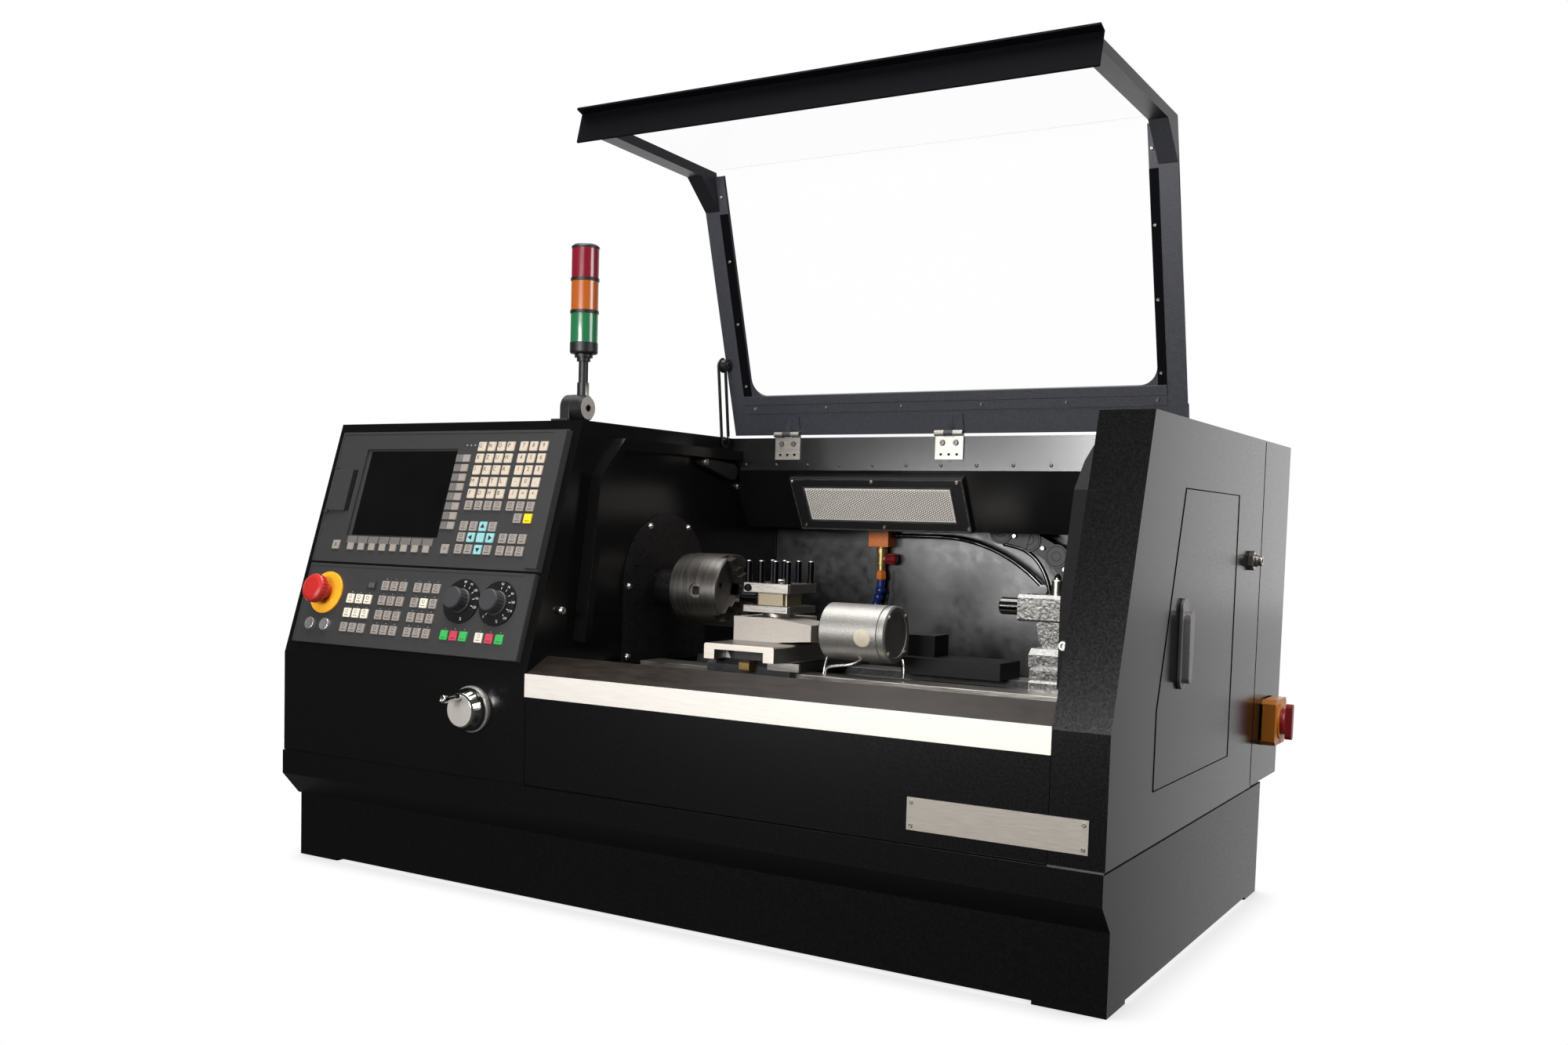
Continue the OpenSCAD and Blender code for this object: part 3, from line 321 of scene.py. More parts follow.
# ---- Inside of the work area ----------------------------------------------
# The back wall and the beam under the hood are the same coated sheet, dulled and mottled
# where coolant mist has dried on them; a bolted arch plate closes the wall round the spindle.
wall_coat = make_finish(
    "powder coat mottled by coolant", ("#0b0b0c", "#232325"), 14, 0.2, (0.28, 0.4), inputs={"IOR": 2.0}
)
beam_coat = make_finish(
    "fine textured powder coat", ("#0c0c0d", "#151517"), 1.6, 0.05, (0.18, 0.26), inputs={"IOR": 1.75}
)
dress("work_back", wall_coat, 1.0)
dress("top_beam", beam_coat, 1.0)
plate_coat = make_finish("semi-gloss plate paint", ("#121214", "#19191b"), 5, 0.004, (0.26, 0.34))
moulded_nylon = make_finish("black moulded nylon", ("#131315", "#1c1c1e"), 1.2, 0.02, (0.36, 0.5))
dress("spindle_cover", (plate_coat, bright_screw), 0.5, lambda middle, out: int(middle.x > 443.6))
dress("wall_arm", moulded_nylon, 1.5)

left_wall = facing((441.5, 0, 0), (0, 1, 0), (1, 0, 0))
grow(
    "wall_screws", screw_tree, [(123, 354, 0.5), (481, 546, 0.5), (68, 371, 2.5), (374, 577, 12.6)],
    {"Radius": 5.2, "Height": 4.5}, bright_screw, "left_housing", left_wall,
)
grow(
    "cover_rivets", screw_tree, [(228, z, 2.3) for z in (321.5, 348.5, 375, 401.5, 428)],
    {"Radius": 1.5, "Height": 1.0}, black_screw, "spindle_cover", left_wall,
)
right_return = facing((0, 61.5, 0))
grow(
    "right_end_bolt", screw_tree, [(1119, 371, 1.5)], {"Radius": 5.6, "Height": 5}, bright_screw,
    "right_housing", right_return,
)

# ---- Spindle and chuck ----------------------------------------------------
# A steel chuck with three stepped jaws bolts to the spindle flange.
# Turned on a lathe itself, it keeps fine rings round its axis; the jaws are ground.
turned_steel = make_finish(
    "turned steel", ("#6a6762", "#8f8b86"), 0.9, 0.003, (0.3, 0.42), (1, 0.02, 0.02), {"Metallic": 1.0}
)
# The jaws get a darker copy of the chuck's steel.
darker_jaw_steel = make_finish(
    "steel darker than the chuck", ("#4a4845", "#6a6763"), 1.4, 0.003, (0.3, 0.42), (1, 0.05, 1), {"Metallic": 1.0}
)
ground_steel = make_finish(
    "ground steel", ("#8d8984", "#b9b4ad"), 0.9, 0.004, (0.24, 0.38), (0.05, 1, 1), {"Metallic": 1.0}
)
dress("spindle", (turned_steel, plate_coat), 0.5, lambda middle, out: int(middle.x < 482))
for name in ("jaw_a", "jaw_b", "jaw_c3"):
    dress(name, darker_jaw_steel, 0.5)

# ---- Bed and slides -------------------------------------------------------
# The bed, saddle and cross slide are grey iron castings: painted where they were cast,
# bright and lightly scored where the ways were ground. The slide's front end is freshly milled.
cast_paint = make_finish("dark paint on cast iron", ("#1d1d1f", "#2b2b2d"), 4, 0.12, (0.32, 0.5))
ground_iron = make_finish(
    "ground cast iron", ("#85817d", "#aeaaa3"), 1.2, 0.006, (0.26, 0.42), (0.04, 1, 1), {"Metallic": 1.0}
)
milled_iron = make_finish(
    "milled cast iron", ("#e6dccf", "#f3eadd"), 1.6, 0.006, (0.4, 0.52), (0.1, 1, 1), {"Metallic": 0.35}
)
way_top = 300


def on_ways(middle, out):
    """1 on the ground way tops and on the front way's guide, 0 on the painted casting."""
    return int(abs(middle.z - way_top) < 1 or (middle.y < 206 and middle.z > way_top - 25))


dress("bed", (cast_paint, ground_iron), 0.8, on_ways)
wiper_brass = make_finish(
    "oiled brass wiper", ("#7d6238", "#a5865a"), 2, 0.02, (0.34, 0.48), inputs={"Metallic": 0.9}
)


def saddle_part(middle, out):
    """2 on the brass wiper in front, 1 on the machined top and the wiper's holder, 0 on the casting."""
    if middle.y < 189:
        return 2 if middle.x < 666 else 1
    return int(out.z > 0.9)


dress("saddle", (cast_paint, ground_iron, wiper_brass), 0.8, saddle_part)
dress("cross_slide", (ground_iron, milled_iron), 0.6, lambda middle, out: int(out.y < -0.9))

# ---- Turret ---------------------------------------------------------------
# A square four-way tool post of two ground plates on a core, clamped by black socket bolts
# whose tops carry a painted highlight in bright zinc; its small motor in silver hammertone paint hangs on
# the right.
aged_core = make_finish(
    "oiled steel core", ("#857a68", "#b3a68f"), 1.4, 0.03, (0.36, 0.5), inputs={"Metallic": 1.0}
)
cast_grey = make_finish(
    "bead blasted iron", ("#a39c94", "#c6beb5"), 0.9, 0.03, (0.45, 0.6), inputs={"Metallic": 0.7}
)
hammertone = make_finish(
    "silver hammertone paint", ("#8f8c88", "#b3b0ac"), 1.3, 0.05, (0.42, 0.52), inputs={"Metallic": 0.85}
)
dress("turret_base", (cast_grey, black_screw), 0.8, lambda middle, out: int(middle.x > 724.5))
dress(
    "turret", (ground_steel, aged_core), 0.6,
    lambda middle, out: int(382 < middle.z < 399 and abs(out.z) < 0.5),
)
# The bolts' tops, above 439 mm, are bright zinc: a painted highlight.
dress("tool_bolts", (black_screw, bright_screw), 0.3, lambda middle, out: int(middle.z > 439))
dress("turret_motor", hammertone, 0.6)


def bent_tube(name, path, radius, material, node, bends="NURBS"):
    """A round tube along a path in mm, with smooth bends or with POLY corners, and closed ends."""
    line = bpy.data.curves.new(name, "CURVE")
    line.dimensions = "3D"
    spline = line.splines.new(bends)
    spline.points.add(len(path) - 1)
    for point, spot in zip(spline.points, path):
        point.co = (*(Vector(spot) * MM), 1.0)
    if bends == "NURBS":
        spline.order_u = 3
        spline.use_endpoint_u = True
        spline.resolution_u = 6
    line.bevel_depth = radius * MM
    line.bevel_resolution = 2
    line.use_fill_caps = True
    carrier = put(name, line)
    mesh = baked(carrier)
    bpy.data.objects.remove(carrier)
    mesh.transform(Matrix.Translation(at(0, 0, 0)))
    mesh.materials.clear()
    mesh.materials.append(material)
    carry(put(name, mesh), node)


# Thin bright oil tubes under the motor.
oil_tubes = {
    "long": [
        (790, 240, 321), (784, 232, 315), (756, 230, 312), (745, 230, 309), (744, 230, 302),
        (744, 231, 297),
    ],
    "short": [(740, 242, 323), (739, 238, 312), (739, 236, 304), (738, 235, 297)],
    "right": [(845, 245, 324), (849, 241, 318), (850, 240, 310), (850, 240, 303)],
}
for which, route in oil_tubes.items():
    bent_tube("oil_tube_" + which, route, 2.0, bright_screw, "turret_motor")

# A bare round sticker wrapped on the motor's barrel.
sticker_film = make_finish("cream vinyl sticker", ("#c9bea6", "#d8cdb6"), 4, 0.002, (0.4, 0.5))
barrel_x, barrel_y, barrel_z, barrel_radius = 800, 255, 354.5, 36.5
sticker_radius, sticker_tilt, lift, sides = 11.5, -0.12, 0.15, 32
rings = [(0.0, 1)] + [(sticker_radius * step / 4, sides) for step in (1, 2, 3, 4)]
corners, faces = [], []
for reach, count in rings:
    for index in range(count):
        turn = math.tau * index / count
        across, around = reach * math.cos(turn), reach * math.sin(turn) / barrel_radius + sticker_tilt
        forward, upward = math.cos(around), math.sin(around)
        reach_out = barrel_radius + lift
        corners.append(at(barrel_x + across, barrel_y - reach_out * forward, barrel_z + reach_out * upward))
for index in range(sides):
    after = (index + 1) % sides
    faces.append((0, 1 + index, 1 + after))
    for inner in range(1, 1 + 3 * sides, sides):
        outer = inner + sides
        faces.append((inner + index, outer + index, outer + after, inner + after))
sticker_mesh = bpy.data.meshes.new("motor_sticker")
sticker_mesh.from_pydata(corners, [], faces)
sticker_mesh.materials.append(sticker_film)
carry(put("motor_sticker", sticker_mesh), "turret_motor")

turret_side = facing((0, 236, 0))
grow(
    "turret_side_screws", screw_tree, [(621, 405, 0.8)], {"Radius": 5, "Height": 3.4}, black_screw,
    "turret", turret_side,
)

# ---- Tailstock ------------------------------------------------------------
# A cast tailstock in glossy hammered paint carries a polished steel quill,
# locked from above by a steel clamp post with a black point.
hammered_paint = make_finish(
    "glossy hammered paint", ("#4a4948", "#7b7976"), 3.6, 0.45, (0.16, 0.26),
    inputs={"Metallic": 0.55, "Coat Weight": 0.5},
)
dress("tailstock", hammered_paint, 1.6)
# The polished quill is darker than bare steel: painted shade for the dark surroundings it mirrors.
polished_quill = make_finish(
    "polished steel quill", ("#4a4847", "#5b5957"), 0.9, 0.001, (0.1, 0.18), inputs={"Metallic": 1.0}
)
dress("quill", polished_quill, 0.4)
dress("quill_lock", (ground_steel, black_screw), 0.4, lambda middle, out: int(middle.z > 433))

# ---- Work light -----------------------------------------------------------
# A black framed lamp screwed under the beam. The outward faces of the frame's raised lines are lighter grey
# metal, and a perforated sheet of hexagonal cells lies over the milky diffuser.
tilt = math.radians(30)
light_out = Vector((0, -math.cos(tilt), -math.sin(tilt)))
beam_corner = Vector((0, 467.5, 569.5))
light_face = facing(beam_corner, out=light_out)
frame_paint = make_finish("satin black lamp frame", ("#1b1b1d", "#262628"), 1.5, 0.03, (0.3, 0.42))
raised_line_grey = make_finish(
    "lighter grey metal of the raised lines", ("#4d4c4c", "#7c7a78"), 5, 0.01, (0.3, 0.5), (0.2, 1, 1),
    {"Metallic": 0.7},
)


def on_raised_line(middle, out):
    """1 on the lamp frame's raised lines, 8 mm out of the beam's corner."""
    return int(out.dot(light_out) > 0.9 and (middle - beam_corner).dot(light_out) > 7.5)


# The diffuser glows faintly: a painted glow standing in for the light that falls on it.
diffuser = make_finish(
    "milky acrylic diffuser", ("#cfcac3", "#dcd7d0"), 12, 0.002, (0.35, 0.45),
    inputs={"Emission Color": (0.9, 0.86, 0.8, 1), "Emission Strength": 0.3},
)
dress("work_light", (frame_paint, raised_line_grey), 0.25, on_raised_line)
dress("light_lens", diffuser, 0.2)

# One cell of the perforated sheet: a six-sided plate with a six-sided hole.
cell_tree, sockets = new_tree("perforated cell", ("Radius", "Thickness"))
cell = add_node(
    cell_tree, "GeometryNodeMeshCircle", {"Vertices": 6, "Radius": sockets["Radius"]}, fill_type="NGON"
)
shrunk = add_node(
    cell_tree, "GeometryNodeExtrudeMesh",
    {"Mesh": cell.outputs["Mesh"], "Offset Scale": 0.0, "Individual": False},
)
rim = add_node(
    cell_tree, "GeometryNodeScaleElements",
    {"Geometry": shrunk.outputs["Mesh"], "Selection": shrunk.outputs["Top"], "Scale": 0.76},
)
open_cell = add_node(
    cell_tree, "GeometryNodeDeleteGeometry",
    {"Geometry": rim.outputs["Geometry"], "Selection": shrunk.outputs["Top"]}, domain="FACE",
)
thick = add_node(
    cell_tree, "GeometryNodeExtrudeMesh",
    {"Mesh": open_cell.outputs["Geometry"], "Offset Scale": sockets["Thickness"], "Individual": False},
)
set_out(cell_tree, sockets, thick.outputs["Mesh"])
grille_steel = make_finish(
    "perforated grey steel", ("#55524e", "#66625d"), 2, 0.002, (0.4, 0.55), inputs={"Metallic": 0.4}
)
pitch = 3.5
grille_seats = []
for column in range(76):
    for row in range(14):
        shift = pitch / 2 if column % 2 else 0
        grille_seats.append((566.5 + column * pitch * 0.866, -76.3 + row * pitch + shift, 7.05))
grow(
    "lamp_grille", cell_tree, grille_seats, {"Radius": pitch * 0.577, "Thickness": 0.3}, grille_steel,
    "work_light", light_face,
)
lamp_screws = [(x, -14.5, 7.2) for x in (546.5, 677.5, 810)] + [(x, -88, 7.2) for x in (551.6, 682.5, 815)]
grow(
    "lamp_screws", screw_tree, lamp_screws, {"Radius": 2.8, "Height": 1.8}, bright_screw, "work_light",
    light_face,
)

# ---- Coolant fittings -----------------------------------------------------
# An orange manifold feeds a turned brass tap with a fluted red knob and a segmented blue pipe;
# black hoses leave it to the right, and a cable chain hangs behind the tailstock.
orange_moulding = make_finish(
    "orange moulded nylon", ("#d9651a", "#ec8a34"), 2.5, 0.02, (0.34, 0.5),
    inputs={"Subsurface Weight": 0.05},
)
turned_brass = make_finish(
    "turned brass", ("#a98f58", "#c9b07a"), 0.9, 0.004, (0.34, 0.46), (0.04, 0.04, 1), {"Metallic": 0.8}
)
knob_red = make_finish("dark red phenolic", ("#6d1218", "#86191f"), 2, 0.01, (0.25, 0.35))
pipe_blue = make_finish("blue acetal segments", ("#182a6e", "#21398c"), 2, 0.01, (0.28, 0.4))
hose_rubber = make_finish(
    "glossy black polyurethane", ("#0e0e10", "#19191c"), 3, 0.01, (0.1, 0.2), inputs={"Coat Weight": 0.6}
)
dress("coolant_block", orange_moulding, 0.8)
dress("coolant_valve", turned_brass, 0.3)
dress("valve_knob", knob_red, 0.4)
dress("coolant_pipe", pipe_blue, 0.3)
dress("coolant_hose", hose_rubber, 0.2)
guard_black = make_finish(
    "dull black rail guard", ("#070708", "#0b0b0c"), 2, 0.02, (0.5, 0.65),
    inputs={"Specular IOR Level": 0.25},
)
dress(
    "cable_chain", (moulded_nylon, guard_black), 0.8,
    lambda middle, out: int(middle.x < 905 and middle.z < 345),
)
second_strand = [
    (836, 583, 470.5), (856, 583, 467), (871, 583, 461), (884, 583, 452), (894, 583, 440), (902, 583, 425),
    (908, 583, 408), (911, 583, 390),
]
bent_tube("hose_second_strand", second_strand, 3.3, hose_rubber, "coolant_hose")

# Ring on a flat face: round outside and in, as moulded round each chain pin.
ring_tree, sockets = new_tree("moulded ring", ("Radius", "Thickness"))
path_circle = add_node(
    ring_tree, "GeometryNodeCurvePrimitiveCircle", {"Resolution": 40, "Radius": sockets["Radius"]}
)
ring_section = add_node(
    ring_tree, "GeometryNodeCurvePrimitiveCircle", {"Resolution": 6, "Radius": sockets["Thickness"]}
)
ring = add_node(
    ring_tree, "GeometryNodeCurveToMesh",
    {"Curve": path_circle.outputs["Curve"], "Profile Curve": ring_section.outputs["Curve"]},
)
set_out(ring_tree, sockets, ring.outputs["Mesh"])
pins = ((840, 487), (882, 477), (924, 455), (950, 420), (955, 377), (940, 336.5))
link_face = facing((0, 560, 0))
pin_seats = [(x, z, 0 if index % 2 == 0 else -3) for index, (x, z) in enumerate(pins)]
worn_nylon = make_finish("nylon worn grey", ("#38383a", "#4c4c4e"), 2, 0.01, (0.4, 0.5))
for radius in (14, 6.5):
    grow(
        "chain_rings_%d" % radius, ring_tree, pin_seats, {"Radius": radius, "Thickness": 0.55}, worn_nylon,
        "cable_chain", link_face,
    )
mid_seats = []
for index, (upper, lower) in enumerate(zip(pins, pins[1:])):
    set_back = 1.9 if index % 2 else 0
    mid_seats.append(((upper[0] + lower[0]) / 2, (upper[1] + lower[1]) / 2, 0.4 - set_back))
grow(
    "chain_screws", screw_tree, mid_seats, {"Radius": 3.2, "Height": 2}, bright_screw, "cable_chain",
    link_face,
)

# Ball chain that holds the tap's cap, hanging straight down.
bead_tree, sockets = new_tree("chain bead", ("Radius",))
bead = add_node(bead_tree, "GeometryNodeMeshIcoSphere", {"Subdivisions": 2, "Radius": sockets["Radius"]})
set_out(bead_tree, sockets, bead.outputs["Mesh"])
cap_chain = [
    (650 + 1.2 * math.sin(i * 0.5), 424 - i * 2.3, -29 + 0.8 * math.cos(i * 0.7))
    for i in range(26)
]
grow("cap_chain", bead_tree, cap_chain, {"Radius": 1.15}, black_screw, "coolant_valve", link_face)

# ---- Guard hood -----------------------------------------------------------
# A black coated frame holds one clear polycarbonate sheet bent over its front corner.
# It hangs on two stainless butt hinges; a slotted stay with a black clamp knob holds it open.
hood_coat = make_finish(
    "blue-black powder coat", ("#1c1c20", "#26262b"), 2.2, 0.01, (0.3, 0.4), inputs={"IOR": 1.5}
)
# A paler copy of the hood coat is a painted highlight on the lower board's front faces right of 600 mm, on
# the lower trim strips and on the moving hinge leaves.
hood_highlight_coat = make_finish(
    "blue-black powder coat, painted highlight", ("#33343a", "#43444b"), 2.2, 0.01, (0.34, 0.44),
    inputs={"IOR": 1.5},
)
channel_coat = make_finish(
    "blue-black powder coat, matt", ("#07070a", "#0c0c10"), 2.2, 0.01, (0.6, 0.7),
    inputs={"Specular IOR Level": 0.05},
)
dress(
    "hood_frame", (hood_coat, hood_highlight_coat), 0.7,
    lambda middle, out: int(middle.z < 960 and middle.x > 600 and out.y < -0.5),
)
dress("hood_trim", (channel_coat, hood_highlight_coat), 0.5, lambda middle, out: int(middle.z < 760))
dress("stay_arm", hood_coat, 0.5)
clear_sheet = make_finish(
    "clear polycarbonate", ("#fbfcfc", "#ffffff"), 200, 0.0, (0.03, 0.06),
    inputs={"Alpha": 0.02, "IOR": 1.58},
)
dress("hood_window", clear_sheet, 0.3)
# A faint grey line along the sheet's bend is a painted reflection.
bend_reflection = make_finish(
    "painted reflection along the bend", ("#b9bcbd", "#c6c9ca"), 6, 0.002, (0.2, 0.3), inputs={"Alpha": 0.14}
)
bent_tube("sheet_bend", [(482, 353, 986), (1090, 353, 986)], 0.5, bend_reflection, "hood_window", "POLY")
leaf_steel = make_finish(
    "stainless hinge leaf", ("#aaa59e", "#c6c0b8"), 1.2, 0.004, (0.3, 0.42), (0.05, 1, 1),
    {"Metallic": 0.85},
)
# A darker copy of the leaf steel covers the hinge screws: painted shade.
shaded_leaf = make_finish(
    "stainless hinge leaf, painted shade", ("#6f6c69", "#8b8783"), 1.2, 0.004, (0.34, 0.48), (0.05, 1, 1),
    {"Metallic": 0.85},
)
dress("hinge_fixed", leaf_steel, 0.4)
dress("hinge_moving", hood_highlight_coat, 0.4)
knob_plastic = make_finish("black moulded clamp knob", ("#1d1d20", "#2a2a2e"), 1, 0.02, (0.3, 0.42))
dress("stay_stud", knob_plastic, 0.4)
beam_face = facing((0, 465, 0))
hinge_edges = (518, 777)
leaf_seats = [(x + u, 608, 0.4) for x in hinge_edges for u in (11, 31)]
grow(
    "hinge_screws", screw_tree, leaf_seats, {"Radius": 4.2, "Height": 2.2}, shaded_leaf, "hinge_fixed",
    beam_face,
)
small_seats = [(x + u, 592, 0.2) for x in hinge_edges for u in (9, 21, 33)]
grow(
    "hinge_small_screws", screw_tree, small_seats, {"Radius": 1.9, "Height": 1.2}, black_screw,
    "hinge_fixed", beam_face,
)

lean = math.radians(17)
hood_face = facing((0, 352.9, 985.92), out=(0, -math.cos(lean), -math.sin(lean)))
post_seats = [(x, -t, -1.6) for x in (477, 1094) for t in (37, 127, 217, 308)]
grow(
    "hood_post_screws", screw_tree, post_seats, {"Radius": 2.1, "Height": 1.5}, bright_screw, "hood_frame",
    hood_face,
)
board_seats = [(488 + i * 120, -342, -1.2) for i in range(6)]
grow(
    "hood_board_screws", screw_tree, board_seats, {"Radius": 2.0, "Height": 1.4}, bright_screw,
    "hood_frame", hood_face,
)

# ---- Operator panel -------------------------------------------------------
# Two charcoal bezels with lighter border strips lie on the slanted front.
# They hold a dark screen, printed key caps with their lamps, a small counter and two black dial plates.
slope = math.atan(103 / 326)
panel_out = Vector((0, -math.cos(slope), math.sin(slope)))
panel_up = Vector((0, math.sin(slope), math.cos(slope)))
panel_corner = Vector((0, 4.5, 291))
panel_face = facing(panel_corner, out=panel_out)
bezel_face = 7
bezel_grey = make_finish("charcoal textured ABS", ("#2d2d2e", "#373738"), 1.2, 0.03, (0.42, 0.55))
strip_grey = make_finish("grey painted border strip", ("#303031", "#3b3b3c"), 1.2, 0.02, (0.36, 0.48))
dial_left_x, dial_right_x, dial_s = 314.2, 376.4, 88.3
dial_black = make_finish("black anodised dial plate", ("#0c0c0d", "#151516"), 1, 0.01, (0.3, 0.42))


def panel_part(middle, out):
    """0 on the bezels, 1 on the raised strip and 2 on the two dial plates."""
    local = middle - panel_corner
    s, height = local.dot(panel_up), local.dot(panel_out)
    if height <= bezel_face + 1:
        return 0
    on_dial = any(math.hypot(middle.x - x, s - dial_s) < 31 for x in (dial_left_x, dial_right_x))
    return 2 if on_dial else int(middle.x > 409)


dress("panels", (bezel_grey, strip_grey, dial_black), 0.8, panel_part)
screen_glass = make_finish(
    "dark display glass", ("#060607", "#0a0a0b"), 60, 0.001, (0.06, 0.12), inputs={"IOR": 1.5}
)
dress("screen", screen_glass, 0.3)
dress("usb_flap", strip_grey, 0.6)


def strips(name, boxes, material, node, place, round_mm=0.3):
    """Flat bars with rounded edges, each from (left, right, low, high, back, front) in mm."""
    mesh = bpy.data.meshes.new(name)
    bm = bmesh.new()
    for left, right, low, high, back, front in boxes:
        corner, size = Vector((left, low, back)), Vector((right - left, high - low, front - back))
        made = bmesh.ops.create_cube(bm, size=1.0)
        for vert in made["verts"]:
            vert.co = (corner + Vector([(c + 0.5) * s for c, s in zip(vert.co, size)])) * MM
    bmesh.ops.bevel(
        bm, geom=bm.edges[:], offset=round_mm * MM, segments=2, affect="EDGES", clamp_overlap=True
    )
    bm.to_mesh(mesh)
    bm.free()
    mesh.transform(place)
    mesh.materials.append(material)
    carry(put(name, mesh), node)


strip_foot, strip_top = 6.8, 7.6
upper_border = [(13.5, 17, 134, 326, strip_foot, strip_top), (17, 409.5, 322.5, 326, strip_foot, strip_top)]
end_plate = [(410, 427.5, 17, 130, strip_foot, 8.4)]
lower_border = [(14.5, 18, 17, 130, strip_foot, strip_top), (18, 409.5, 126.5, 130, strip_foot, strip_top)]
strips("panel_borders", upper_border + end_plate + lower_border, strip_grey, "panels", panel_face)
strips("flap_step", [(54.6, 61, 209, 269, strip_foot, 8.6)], dial_black, "panels", panel_face)

# Key cap: a rounded rectangle drawn in towards its top.
key_tree, sockets = new_tree("key cap", ("Width", "Height", "Rise", "Corner"))
outline = add_node(
    key_tree, "GeometryNodeCurvePrimitiveQuadrilateral",
    {"Width": sockets["Width"], "Height": sockets["Height"]},
)
rounded = add_node(
    key_tree, "GeometryNodeFilletCurve",
    {"Curve": outline.outputs["Curve"], "Radius": sockets["Corner"], "Count": 3}, mode="POLY",
)
filled = add_node(key_tree, "GeometryNodeFillCurve", {"Curve": rounded.outputs["Curve"]}, mode="NGONS")
raised = add_node(
    key_tree, "GeometryNodeExtrudeMesh",
    {
        "Mesh": filled.outputs["Mesh"], "Offset Scale": scaled(key_tree, sockets["Rise"], 0.7),
        "Individual": False,
    },
)
crown, _ = step_up(
    key_tree, raised.outputs["Mesh"], raised.outputs["Top"], scaled(key_tree, sockets["Rise"], 0.3), 0.93
)
set_out(key_tree, sockets, crown)

key_finish = {
    "cream": ("#c3b5a4", "#cdc0af"),
    "grey": ("#8f8780", "#9a928b"),
    "white": ("#e4dac6", "#ece3d1"),
    "teal": ("#86bcbf", "#92c6c8"),
    "yellow": ("#f2cb14", "#f8d62a"),
    "green": ("#35a850", "#42b65d"),
    "red": ("#c23c50", "#cd4a5d"),
    "dusk": ("#66625f", "#706c69"),
}
letters = ("GNOP789", "XZUW456", "IKCR123", "MSTL-0.", "FDHB/=+")
key_columns = (286.7, 303.9, 320.8, 337.3, 359.8, 376.6, 393.8)
key_rows = (303, 286.3, 269.7, 253, 236.4, 219.9)
seats = {name: [] for name in key_finish}
for s in key_rows:
    seats["grey" if s == key_rows[-1] else "cream"] += [(x, s) for x in key_columns]
seats["grey"] += [
    (376.6, 203.5), (286.7, 191), (303.9, 191), (337.3, 191), (286.7, 175.5), (286.7, 159), (303.9, 159),
    (337.3, 159),
]
seats["grey"] += [(x, s) for x in (359.5, 376, 392.5) for s in (175.5, 159)]
page_keys = [(55, 158.2), (262.6, 158.2)]
seats["grey"] += page_keys
seats["yellow"] += [(394, 203.5)]
arrow_keys = {(320.8, 191): 90, (303.9, 175.5): 180, (337.3, 175.5): 0, (320.8, 159): 270}
seats["teal"] += list(arrow_keys) + [(320.8, 175.5)]
first, second, third = (110, 126.8, 143.4), (170.5, 187, 203.7), (230.7, 247.6, 264.6)
lower_rows = (102.9, 82.1, 61.8, 41.3)
seats["white"] += [(x, s) for x in first for s in (82.1, 61.8)] + [(247.6, 82.1), (357.2, 41.8)]
seats["grey"] += [(x, 41.3) for x in first]
seats["grey"] += [(x, s) for x in second + third for s in lower_rows if (x, s) != (247.6, 82.1)]
seats["green"] += [(297, 41.8), (330, 41.8), (391.6, 41.8)]
seats["red"] += [(313.4, 41.8), (374.7, 41.8)]
rubber = {}
for name, colours in key_finish.items():
    rubber[name] = make_finish(name + " printed key film", colours, 3, 0.004, (0.38, 0.5))
    stands = ("keys",) if name == "cream" else ()
    caps = [(x, s, bezel_face - 0.3) for x, s in seats[name]]
    if caps:
        cap_size = {"Width": 13.3, "Height": 13.1, "Rise": 2.2, "Corner": 1.0}
        grow(name + "_keys", key_tree, caps, cap_size, rubber[name], "keys", panel_face, stands)
side_rows = [190.9 + i * 13.64 for i in range(8)]
foot_columns = [84.5 + i * 20.55 for i in range(8)]
# Keys beside and below the screen are dark with a paler tip: places, width, height, rise and colour.
soft_keys = {
    "side_softkeys": ([(250.6, s) for s in side_rows], 12.4, 10.7, 2.1, "dusk"),
    "side_softkey_tips": ([(263.2, s) for s in side_rows], 12.4, 10.5, 2.2, "grey"),
    "foot_softkeys": ([(x, 166.2) for x in foot_columns], 18.6, 10.4, 2.0, "dusk"),
    "foot_softkey_tips": ([(x, 156.6) for x in foot_columns], 12.0, 10.2, 2.2, "grey"),
}
for name, (spots, width, height, rise, colour) in soft_keys.items():
    caps = [(x, s, 6.7) for x, s in spots]
    cap_size = {"Width": width, "Height": height, "Rise": rise, "Corner": 0.5}
    grow(name, key_tree, caps, cap_size, rubber[colour], "keys", panel_face)


# Screen print lies this thick on keys and plates, in mm.
ink_depth = 0.06


def turned_spot(right, up, height, angle):
    """The matrix of a place in a drawing, in mm, turned by an angle in degrees."""
    spot = Vector((right, up, height)) * MM
    return Matrix.Translation(spot) @ Matrix.Rotation(math.radians(angle), 4, "Z")


def print_marks(name, marks, material, node, place):
    """Flat printed signs, each (text, right, up, height, letter size, turn), in mm and degrees."""
    joined = bmesh.new()
    for text, right, up, height, size, angle in marks:
        face = bpy.data.curves.new(name, "FONT")
        face.body = text
        face.size = size * MM
        face.resolution_u = 2
        face.align_x, face.align_y = "CENTER", "CENTER"
        face.extrude = ink_depth / 2 * MM
        carrier = put(name, face)
        flat = baked(carrier)
        flat.transform(place @ turned_spot(right, up, height, angle))
        joined.from_mesh(flat)
        bpy.data.objects.remove(carrier)
        bpy.data.meshes.remove(flat)
    mesh = bpy.data.meshes.new(name)
    joined.to_mesh(mesh)
    joined.free()
    mesh.materials.clear()
    mesh.materials.append(material)
    carry(put(name, mesh), node)


